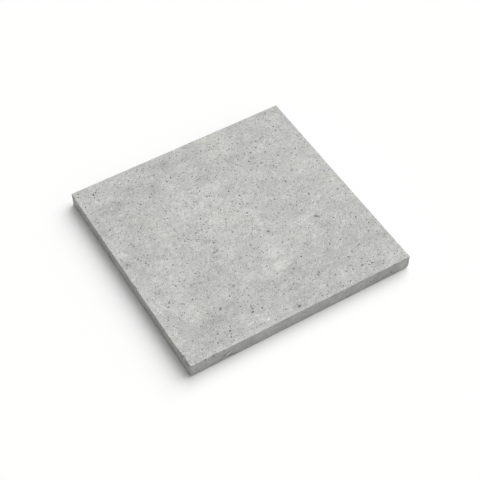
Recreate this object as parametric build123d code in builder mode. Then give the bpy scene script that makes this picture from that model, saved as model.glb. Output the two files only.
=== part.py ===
from build123d import *
from collections import namedtuple
import os

# A square concrete paving slab, cast and pressed as one piece.
#
# The slab lies on its bed with the wearing face up. The origin is the centre of the
# underside, X and Y run along the sides and Z points up. All sizes are in millimetres.
#
# The sides stand upright, as they leave a press mould, and every edge is only just eased.
# A slab that has been handled has lost small scoops of concrete along its edges. They are
# worst round the corner at low X and low Y, which has been set down hard.

# Driving dimensions
length = 600.0  # along X
width = 600.0  # along Y
thickness = 40.0

corner_radius = 1.5  # the four upright corners
face_arris = 0.8  # radius of the edge round the wearing face
bed_chamfer = 1.0  # leg of the bevel round the underside

# The sharp block that the edges and the knocks are measured from
low_x = -length / 2
high_x = length / 2
low_y = -width / 2
high_y = width / 2
bed = 0.0
face = thickness

# A knock is a shallow scoop out of an edge or a corner of the sharp block.
#   place    the point of the edge or corner that the scoop is centred on
#   outward  the way out of the block there, the sum of the normals of the faces that meet
#   reach    how far along the edge, to each side of its place, the scoop runs
#   depth    how deep it is below the sharp edge, measured straight inwards
Knock = namedtuple("Knock", "place outward reach depth")

worn_corner = [
    Knock((low_x, low_y, face), (-1, -1, 1), reach=5.0, depth=3.4),
    Knock((low_x, low_y + 11, face), (-1, 0, 1), reach=8.0, depth=1.9),
    Knock((low_x, low_y + 28, face), (-1, 0, 1), reach=11.0, depth=2.8),
    Knock((low_x, low_y + 58, face), (-1, 0, 1), reach=7.0, depth=1.1),
    Knock((low_x + 17, low_y, face), (0, -1, 1), reach=5.0, depth=2.1),
    Knock((low_x + 38, low_y, face), (0, -1, 1), reach=4.0, depth=1.1),
    Knock((low_x + 64, low_y, face), (0, -1, 1), reach=6.0, depth=2.4),
    Knock((low_x, low_y, bed), (-1, -1, -1), reach=6.0, depth=4.0),
]
low_y_side = [
    Knock((low_x + 91, low_y, bed), (0, -1, -1), reach=29.0, depth=2.3),
    Knock((high_x - 43, low_y, face), (0, -1, 1), reach=6.0, depth=1.0),
    Knock((high_x - 18, low_y, face), (0, -1, 1), reach=4.0, depth=1.1),
    Knock((high_x, low_y, bed), (1, -1, -1), reach=5.0, depth=3.3),
    Knock((high_x - 9, low_y, bed), (0, -1, -1), reach=12.0, depth=1.5),
]
low_x_side = [
    Knock((low_x, high_y - 14, face), (-1, 0, 1), reach=11.0, depth=1.1),
    Knock((low_x, high_y - 343, face), (-1, 0, 1), reach=8.0, depth=1.4),
]


def scoop(knock):
    """Take a knock out of the slab with a ball that meets its reach and its depth.

    The ball's centre stands off the sharp edge by `stand_off`, straight outwards, and its
    radius is stand_off + depth. It meets the edge `reach` away from the knock's place.
    At a corner the edges run away from the ball at a slant, which `slant` is the cosine of.
    """
    outward = Vector(knock.outward).normalized()
    slant = min(abs(outward.X), abs(outward.Y), abs(outward.Z))
    gap = 2 * (knock.depth - knock.reach * slant)
    stand_off = (knock.reach**2 - knock.depth**2) / gap
    with Locations(Vector(knock.place) + outward * stand_off):
        Sphere(stand_off + knock.depth, mode=Mode.SUBTRACT)


with BuildPart() as slab:
    with BuildSketch(Plane.XY.offset(bed)):
        Rectangle(length, width)
    extrude(amount=thickness)
    fillet(slab.edges().filter_by(Axis.Z), radius=corner_radius)
    fillet(slab.faces().sort_by(Axis.Z)[-1].edges(), radius=face_arris)
    chamfer(slab.faces().sort_by(Axis.Z)[0].edges(), length=bed_chamfer)
    for knock in worn_corner + low_y_side + low_x_side:
        scoop(knock)

slab.part.label = "slab"

os.makedirs("parts", exist_ok=True)
export_step(slab.part, "parts/slab.step")
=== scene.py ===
import math

import bpy
import numpy as np
from mathutils import Matrix, Vector
from mathutils.geometry import delaunay_2d_cdt


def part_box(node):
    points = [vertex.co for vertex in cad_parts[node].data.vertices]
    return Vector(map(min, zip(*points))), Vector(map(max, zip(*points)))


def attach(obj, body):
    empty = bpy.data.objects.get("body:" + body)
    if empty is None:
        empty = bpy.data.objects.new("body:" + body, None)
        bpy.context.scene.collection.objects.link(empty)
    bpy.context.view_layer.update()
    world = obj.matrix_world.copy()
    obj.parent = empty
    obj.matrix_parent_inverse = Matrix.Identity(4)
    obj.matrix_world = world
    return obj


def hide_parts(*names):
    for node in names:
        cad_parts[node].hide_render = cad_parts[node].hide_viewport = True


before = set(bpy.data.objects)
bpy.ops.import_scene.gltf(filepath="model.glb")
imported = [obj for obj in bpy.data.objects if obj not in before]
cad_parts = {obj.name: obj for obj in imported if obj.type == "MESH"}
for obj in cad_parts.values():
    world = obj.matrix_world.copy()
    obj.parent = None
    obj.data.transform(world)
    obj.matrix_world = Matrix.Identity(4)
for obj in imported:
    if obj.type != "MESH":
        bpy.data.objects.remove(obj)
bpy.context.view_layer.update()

# A square concrete paving slab that lies on its bed with its wearing face up.
# Shapes are worked out in millimetres from the middle of the underside, and become metres
# as they go into a mesh.

mm = 0.001
slabHigh = np.array(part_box("slab")[1]) / mm
halfSide = float(slabHigh[0])
faceZ = float(slabHigh[2])
print("frame loaded: half side", round(halfSide, 2), "mm, thickness", round(faceZ, 2), "mm")


class Wire:
    # A node's output that Python's operators work on: each operation adds a Math node.
    def __init__(self, graph, socket):
        self.graph = graph
        self.socket = socket

    def math(self, operation, *others):
        made = self.graph.node("Math", {"operation": operation}, self, *others)
        return Wire(self.graph, made.outputs[0])

    def __add__(self, other):
        return self.math("ADD", other)

    def __mul__(self, other):
        return self.math("MULTIPLY", other)

    def __sub__(self, other):
        return self.math("SUBTRACT", other)

    def __rsub__(self, other):
        return (self * -1).math("ADD", other)

    def __pow__(self, other):
        return self.math("POWER", other)

    def __abs__(self):
        return self.math("ABSOLUTE")

    __radd__ = __add__
    __rmul__ = __mul__


class Graph:
    # One node tree. node() makes any node: its type, its settings, then the values or links
    # of its sockets, either in order or by name.
    def __init__(self, tree):
        self.tree = tree
        tree.nodes.clear()

    def node(self, kind, settings=None, *values, **named):
        made = self.tree.nodes.new("ShaderNode" + kind)
        for name, value in (settings or {}).items():
            setattr(made, name, value)
        sockets = list(zip(made.inputs, values))
        sockets += [(made.inputs[name.replace("_", " ")], value) for name, value in named.items()]
        for socket, value in sockets:
            if isinstance(value, Wire):
                self.tree.links.new(value.socket, socket)
            else:
                socket.default_value = value
        return made

    def wire(self, kind, output, settings=None, *values, **named):
        return Wire(self, self.node(kind, settings, *values, **named).outputs[output])

    def ease(self, value, low, high):
        # 0 up to low, 1 from high on, and an eased step between them
        settings = {"interpolation_type": "SMOOTHSTEP"}
        return self.wire("MapRange", "Result", settings, value, low, high, 0.0, 1.0)

    def stretch(self, vector, by):
        return self.wire("VectorMath", 0, {"operation": "MULTIPLY"}, vector, by)

    def noise(self, vector, size, shift, torn=0.0):
        # soft noise about 0, with lumps of about that size, read some way off along each axis
        share = [1 / part for part in (size if isinstance(size, tuple) else 3 * (size,))]
        settings = {"operation": "MULTIPLY_ADD"}
        place = self.wire("VectorMath", 0, settings, vector, share, 3 * (shift,))
        noise = self.wire("TexNoise", "Fac", None, Vector=place, Scale=1.0, Detail=0.0, Distortion=torn)
        return noise - 0.5

    def turned(self, vector, degrees):
        # the vector turned back about Z by that many degrees
        settings = {"rotation_type": "Z_AXIS"}
        return self.wire("VectorRotate", 0, settings, Vector=vector, Angle=math.radians(-degrees))

    def blend(self, share, first, second):
        # a mix of two colours, whose sockets on a Mix node are inputs 6 and 7 and output 2
        made = self.node("Mix", {"data_type": "RGBA"}, Factor=share)
        for number, colour in ((6, first), (7, second)):
            made.inputs[number].default_value = (*colour, 1)
        return Wire(self, made.outputs[2])


# Camera: its place is in metres and its angles in degrees. Heading turns from +Y towards +X.
cameraView = {
    "place": (-0.9396, -1.6353, 2.2842),
    "heading": 30.102,
    "dip": 50.695,
    "roll": 1.044,
    "lens": 90.5,
    "sensor": 36.0,
}


def makeCamera(view):
    heading, dip, roll = (math.radians(view[name]) for name in ("heading", "dip", "roll"))
    level = Vector((math.cos(heading), -math.sin(heading), 0))
    ahead = Vector((math.sin(heading), math.cos(heading), 0)) * math.cos(dip) - Vector((0, 0, math.sin(dip)))
    below = ahead.cross(level)
    right = math.cos(roll) * level + math.sin(roll) * below
    up = math.sin(roll) * level - math.cos(roll) * below
    data = bpy.data.cameras.new("slabCamera")
    data.lens = view["lens"]
    data.sensor_width = view["sensor"]
    made = bpy.data.objects.new("slabCamera", data)
    turn = Matrix((right, up, -ahead)).transposed().to_4x4()
    made.matrix_world = Matrix.Translation(view["place"]) @ turn
    bpy.context.scene.collection.objects.link(made)
    bpy.context.scene.camera = made


# Light: a wide soft key high over the +X side, and a sky that is a little lighter towards +X
# and -Y. Together they bring a level surface to 1.
studio = {
    "sky": 0.41,
    "skyColour": (0.996, 1.0, 0.986),
    "skyLean": (0.30, -0.30),   # the share by which it is lighter straight along X and Y
    "keyLevel": 0.59,
    "keyLeanX": 36.8,   # degrees from straight up
    "keyLeanY": 14.5,
    "keyWidth": 61.5,   # degrees
    "floorSide": 12.0,   # metres
    "floorDrop": 0.00005,   # metres under the slab's bed
    "floorColour": 0.6,   # for the light that it throws back
    "floorSeen": 1.0,   # for the camera
}


def seenShare(graph):
    # 1 for a ray that shows the background: straight from the camera, or by a gloss or glass
    rays = graph.node("LightPath")
    camera, glossy, through = (
        Wire(graph, rays.outputs[name])
        for name in ("Is Camera Ray", "Is Glossy Ray", "Is Transmission Ray")
    )
    return camera.math("MAXIMUM", glossy).math("MAXIMUM", through)


def makeStudio(plan):
    scene = bpy.context.scene
    scene.view_settings.view_transform = "Standard"

    world = bpy.data.worlds.new("studioSky")
    world.use_nodes = True
    scene.world = world
    graph = Graph(world.node_tree)
    seen = seenShare(graph)
    way = graph.wire("TexCoord", "Generated")
    lean = graph.wire("VectorMath", "Value", {"operation": "DOT_PRODUCT"}, way, (*plan["skyLean"], 0))
    strength = seen + (1 - seen) * (1 + lean) * plan["sky"]
    sky = graph.wire("Background", 0, None, Color=(*plan["skyColour"], 1), Strength=strength)
    graph.node("OutputWorld", None, sky)

    leanX, leanY = (math.tan(math.radians(plan[name])) for name in ("keyLeanX", "keyLeanY"))
    towards = Vector((leanX, leanY, 1)).normalized()
    lamp = bpy.data.lights.new("keyLight", "SUN")
    lamp.energy = plan["keyLevel"] * math.pi / towards.z
    lamp.angle = math.radians(plan["keyWidth"])
    key = bpy.data.objects.new("keyLight", lamp)
    key.rotation_euler = towards.to_track_quat("Z", "Y").to_euler()
    scene.collection.objects.link(key)

    half = plan["floorSide"] / 2
    drop = -plan["floorDrop"]
    corners = [(-half, -half, drop), (half, -half, drop), (half, half, drop), (-half, half, drop)]
    mesh = bpy.data.meshes.new("studioFloor")
    mesh.from_pydata(corners, [], [(0, 1, 2, 3)])
    floor = bpy.data.objects.new("studioFloor", mesh)
    scene.collection.objects.link(floor)
    paint = bpy.data.materials.new("paleFloor")
    paint.use_nodes = True
    graph = Graph(paint.node_tree)
    grey, seenGrey = (3 * (plan[name],) for name in ("floorColour", "floorSeen"))
    colour = graph.blend(seenShare(graph), grey, seenGrey)
    graph.node("OutputMaterial", None, graph.wire("BsdfDiffuse", 0, None, Color=colour))
    mesh.materials.append(paint)


makeCamera(cameraView)
makeStudio(studio)
print("camera, floor and light made")


# Slab: the sizes of its edges, and how finely each one is divided. A rim is the width of the
# strip beside an edge that belongs to the edge and not to the panel beyond it.
slabShape = {
    "cornerRadius": 1.5,
    "cornerSteps": 6,
    "cornerShrink": 0.1,   # how fast the rounds shrink further inside the outline
    "cornerFan": 20.0,   # the end of each side that leans towards the corner
    "arris": 0.8,
    "arrisSpread": 0.55,   # the share by which chance changes it from place to place
    "bevel": 1.0,
    "bevelSpread": 0.3,
    "faceRim": 6.0,
    "sideRimTop": 6.0,
    "sideRimLow": 5.0,
    "bedRim": 7.0,
    "edgeStep": 2.1,
    "wornStep": 1.0,
    "lowEdgeStep": 3.0,
}

# The path round the slab: four straight sides, each with the quarter round after it
straight = 2 * (halfSide - slabShape["cornerRadius"])
quarter = slabShape["cornerRadius"] * math.pi / 2
sidePath = straight + quarter
wholePath = 4 * sidePath
outWay = np.array([(0, 1), (-1, 0), (0, -1), (1, 0)])   # high Y, low X, low Y, high X
alongWay = np.array([(-1, 0), (0, -1), (1, 0), (0, 1)])


def outline(path, inset):
    # The slab's plan outline as a function of the length run round it and of how far inside
    # it a point lies. It has four straight sides and four quarter rounds. Further inside, the
    # rounds shrink and the ends of the sides lean towards them. Returns the places and the way
    # out of the slab there.
    path = np.mod(path, wholePath)
    side = np.floor(path / sidePath).astype(int) % 4
    run = path - side * sidePath
    along = np.minimum(run, straight) - straight / 2
    turn = np.maximum(run - straight, 0) / quarter * math.pi / 2
    radius = slabShape["cornerRadius"] - slabShape["cornerShrink"] * inset
    core = halfSide - inset - radius
    fan = straight / 2 - slabShape["cornerFan"]
    past = np.maximum(np.abs(along) - fan, 0) / slabShape["cornerFan"]
    along = np.sign(along) * (np.minimum(np.abs(along), fan) + past * (core - fan))
    u = along + radius * np.sin(turn)
    v = core + radius * np.cos(turn)
    place = u[:, None] * alongWay[side] + v[:, None] * outWay[side]
    return place, np.sin(turn)[:, None] * alongWay[side] + np.cos(turn)[:, None] * outWay[side]


def pathOf(side, along):
    # where on the path a place of a side is, counted along that side from its middle
    return side * sidePath + straight / 2 + along


def valueNoise(points, size, seed, count=4096, strides=(157, 1009, 3571)):
    # Value noise from -1 to 1: each corner of a lattice of cubes has one of the heights drawn
    # from the seed, picked by its cell number times the strides, and a point eases between the
    # eight corners round it. The ease is three times the square less twice the cube.
    heights = np.random.default_rng(seed).uniform(-1, 1, count)
    cell = np.floor(points / size).astype(np.int64)
    part = points / size - cell
    ease = part * part * (3 - 2 * part)
    total = np.zeros(points.shape[:-1])
    for corner in np.ndindex(2, 2, 2):
        share = np.prod(np.where(corner, ease, 1 - ease), axis=-1)
        pick = (cell + corner) @ np.array(strides) % count
        total = total + share * heights[pick]
    return total


# Knocks: shallow scoops out of the edges, as on the solid. Each row has the signs of X and Y
# at the corner that the knock is measured from, how far from there it lies along X and Y,
# whether it is at the bed (0) or the wearing face (1), its reach along the edge and its depth.
knocks = [
    (-1, -1, 0, 0, 1, 5.0, 3.4), (-1, -1, 0, 11, 1, 8.0, 1.9), (-1, -1, 0, 28, 1, 11.0, 2.8),
    (-1, -1, 0, 58, 1, 7.0, 1.1), (-1, -1, 17, 0, 1, 5.0, 2.1), (-1, -1, 38, 0, 1, 4.0, 1.1),
    (-1, -1, 64, 0, 1, 6.0, 2.4), (-1, -1, 0, 0, 0, 6.0, 4.0), (-1, -1, 91, 0, 0, 29.0, 2.3),
    (1, -1, -43, 0, 1, 6.0, 1.0), (1, -1, -18, 0, 1, 4.0, 1.1), (1, -1, 0, 0, 0, 5.0, 3.3),
    (1, -1, -9, 0, 0, 12.0, 1.5), (-1, 1, 0, -14, 1, 11.0, 1.1), (-1, 1, 0, -343, 1, 8.0, 1.4),
]
# Broken places that go further than the solid's own knocks there, and that only the skin has
breaks = [(-1, -1, 93, 0, 0, 24.0, 3.2), (1, -1, 0, 0, 0, 8.0, 4.9), (1, -1, -4, 0, 0, 14.0, 2.6)]

# Chance nicks all round the bed (level 0) and the wearing face (level 1), and more of them
# along a worn stretch of the upper edge: how many, the ends of the stretch on the path, and
# their least and greatest sizes
nicks = {
    "all": {"seed": 11, "count": 130, "from": 0.0, "to": wholePath, "levels": (0, 1),
            "reach": (1.6, 4.5), "depth": (0.35, 0.95)},
    "worn": {"seed": 12, "count": 40, "from": pathOf(1, 225), "to": pathOf(2, -180), "levels": (1, 1),
             "reach": (1.4, 3.6), "depth": (0.5, 1.5)},
}
# What all knocks, nicks and chips share
scoops = {
    "steepest": 0.45,   # the greatest depth of a nick, as a share of its reach
    "band": 16.0,   # they all lie this close to the sides
    "gritSize": 2.2,   # lumps of their rough skin, and how far those go, with a limit outwards
    "gritDepth": 0.35,
    "gritMost": 0.25,
    "gritSeed": 21,
    "freshDepth": 0.5,   # where that much is gone, the skin is wholly a fresh break
}

# Chips of the upper edge that the photograph shows, each a ball: side, the place along it from
# its middle, how far the ball's middle stands out of the side, its height and radius, and how
# dark the chip is, partly as its own colour and partly as painted shade. Side 2 is low Y and side 1 is low
# X.
chips = [
    (2, -294, 0.4, 40.5, 2.0, 0.4), (2, -285, -1.2, 41.2, 2.2, 0.8), (2, -260.5, 0.4, 37.5, 2.0, 1.0),
    (2, -240, 0.4, 37.5, 2.3, 1.0), (2, -231, 0.7, 40, 1.8, 0.7), (2, -213, 1.0, 38, 2.0, 0.7),
    (2, -187, 0.5, 39, 1.4, 0.5), (2, -178, 0.5, 41, 1.7, 0.5), (2, -50, 1.2, 37, 2.0, 0.4),
    (2, -33, 0.7, 38, 1.6, 0.5), (2, 50, 0.7, 37, 1.5, 0.4), (2, 86, 1.6, 37, 2.4, 0.4),
    (2, 102, 0.5, 40, 1.5, 0.5), (2, 204, 0.5, 40, 1.5, 0.6), (2, 255, 0.5, 40, 2.1, 1.0),
    (2, 262, 0.8, 38, 1.8, 0.4), (2, 285, 1.0, 38.5, 2.3, 0.5), (1, 267.5, -2.2, 40.5, 2.5, 0.75),
    (1, 276, 2.1, 39, 4.5, 0.0), (1, 284, 6.8, 39, 9.4, 0.1), (1, 294, 3.1, 40, 5.9, 0.1),
    (1, 262, 1.2, 38, 3.2, 0.2), (1, 255, 3.5, 40, 5.3, 0.1), (1, 246, 2.9, 40, 3.9, 0.2),
    (1, 46, 0.2, 41, 2.1, 0.9), (1, 70, 0.7, 41, 2.1, 0.4), (1, -28, 0.8, 40, 1.8, 0.3),
    (1, -220, 0.8, 40, 1.8, 0.3), (1, 130, 0.8, 40, 1.8, 0.3),
]


def edgeBalls(edge, out, level, reach, depth):
    # The balls of scoops at those places of the edges, with the way out of the sides there.
    # Each meets its reach along the edge and its depth: its middle stands off the edge by
    # (reach squared less depth squared) / 2 / (depth less reach times slant). The slant is
    # above nothing only at a corner, where the edges run away from the ball.
    way = np.c_[out, 2 * level - 1]
    way = way / np.linalg.norm(way, axis=1, keepdims=True)
    slant = np.abs(way).min(1)
    standOff = (reach**2 - depth**2) / (2 * (depth - reach * slant))
    return np.c_[edge, level * faceZ] + way * standOff[:, None], standOff + depth


def knockBalls():
    # Every knock, nick and chip as a ball: middles, radii, and how dark the chips are, partly as
    # painted shade. A knock that is shifted away from its corner looks out of one side only.
    table = np.array(knocks + breaks)
    corner, shift = table[:, :2], table[:, 2:4]
    out = np.where(shift == 0, corner, 0)
    groups = [edgeBalls(halfSide * corner + shift, out, *table[:, 4:].T)]
    for plan in nicks.values():
        draw = np.random.default_rng(plan["seed"])
        path = draw.uniform(plan["from"], plan["to"], plan["count"])
        reach = draw.uniform(*plan["reach"], plan["count"])
        depth = np.minimum(draw.uniform(*plan["depth"], plan["count"]), reach * scoops["steepest"])
        level = draw.integers(*plan["levels"], plan["count"], endpoint=True)
        groups.append(edgeBalls(*outline(path, 0.0), level, reach, depth))
    side, along, standOut, height, radius, dark = np.array(chips).T
    edge, out = outline(pathOf(side, along), 0.0)
    groups.append((np.c_[edge + out * standOut[:, None], height], radius))
    middles, radii = (np.concatenate(parts) for parts in zip(*groups))
    return middles, radii, np.concatenate([np.zeros(len(radii) - len(dark)), dark])


def knockOff(points):
    # A point inside a ball moves straight out from the ball's middle to its skin, which grit
    # makes uneven, and one that would leave the slab's height stays at its limit on the skin.
    # Returns the points, how freshly broken they are, and how dark the chips' painted shade makes them.
    points = points.copy()
    broken, chipDarkAndShade = np.zeros((2, len(points)))
    lumps = valueNoise(points, scoops["gritSize"], scoops["gritSeed"])
    rough = np.minimum(scoops["gritDepth"] * lumps, scoops["gritMost"])
    nearEdge = np.flatnonzero(np.abs(points[:, :2]).max(1) > halfSide - scoops["band"])
    for middle, radius, dark in zip(*knockBalls()):
        away = points[nearEdge] - middle
        distance = np.linalg.norm(away, axis=1)
        skin = radius + rough[nearEdge]
        hit = distance < skin
        index = nearEdge[hit]
        away, distance, skin = away[hit], distance[hit], skin[hit]
        height = np.clip(middle[2] + away[:, 2] * skin / distance, 0, faceZ)
        level = np.sqrt(np.maximum(skin**2 - (height - middle[2]) ** 2, 0))
        stretch = level / np.linalg.norm(away[:, :2], axis=1)
        points[index, :2] = middle[:2] + away[:, :2] * stretch[:, None]
        points[index, 2] = height
        fresh = np.clip((skin - distance) / scoops["freshDepth"], 0, 1)
        broken[index] = np.maximum(broken[index], fresh)
        chipDarkAndShade[index] = np.maximum(chipDarkAndShade[index], fresh * dark)
    return points, broken, chipDarkAndShade


def steps(low, high, step, samples=4001):
    # Places from low on up to high, a step apart, or a finer one within the worn stretches:
    # equal shares of the running sum of 1 / step, which is taken at that many samples.
    places = np.linspace(low, high, samples)
    apart = np.full(samples, step)
    for middle, half in wornStretches:
        apart = np.where(np.abs(places - middle) < half, slabShape["wornStep"], apart)
    total = np.concatenate([[0], np.cumsum(1 / apart[1:])]) * (places[1] - places[0])
    count = round(total[-1])
    return np.interp(np.linspace(0, total[-1], count, endpoint=False), total, places)


def edgePath(step):
    # places round the slab for one edge's strip
    made = []
    for side in range(4):
        start = side * sidePath
        made.append(steps(start, start + straight, step))
        corner = np.linspace(0, quarter, slabShape["cornerSteps"], endpoint=False)
        made.append(start + straight + corner)
    return np.concatenate(made)


# The stretches of the path that are divided most finely: the middle and the half length
wornStretches = [
    (pathOf(2, -260), 46), (pathOf(1, 262), 42), (pathOf(2, 270), 30),
    (pathOf(1, -283), 20), (pathOf(1, 45), 12),
]
print("outline and knocks set")


class Skin:
    # Gathers the strips and panels of one closed surface. Each point has its place, the way
    # out of the slab there, how deep a pore has sunk it, and what the finish needs to know.
    def __init__(self):
        self.columns = {name: [] for name in ("place", "way", "sunk", "dark", "light", "rim")}
        self.faces = []
        self.count = 0

    def add(self, place, way, sunk=0.0, dark=0.0, light=0.0, rim=-1.0):
        index = np.arange(len(place)) + self.count
        self.count += len(place)
        self.columns["place"].append(place)
        self.columns["way"].append(np.broadcast_to(way, place.shape))
        for name, value in (("sunk", sunk), ("dark", dark), ("light", light), ("rim", rim)):
            self.columns[name].append(np.broadcast_to(value, len(place)))
        return index

    def strip(self, rows):
        # four-sided faces between rows of point numbers that run round the slab
        rows = np.array(rows)
        ahead = np.roll(rows, -1, axis=1)
        quads = np.stack([rows[:-1], rows[1:], ahead[1:], ahead[:-1]], -1).reshape(-1, 4)
        self.faces.extend(quads.tolist())

    def panel(self, plan, index, border, flip=False):
        # Delaunay triangles between the plan points, inside a border made of the first ones.
        # A plain grid that is fine enough for the pores would take millions of faces.
        insideOnly, nearness = 1, 1e-6
        points = [Vector(point) for point in plan.tolist()]
        found = delaunay_2d_cdt(points, [], [list(range(border))], insideOnly, nearness)
        source = np.array([numbers[0] for numbers in found[3]])
        faces = index[source[np.array(found[2])]]
        self.faces.extend((faces[:, ::-1] if flip else faces).tolist())

    def column(self, name):
        return np.concatenate(self.columns[name])


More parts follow.
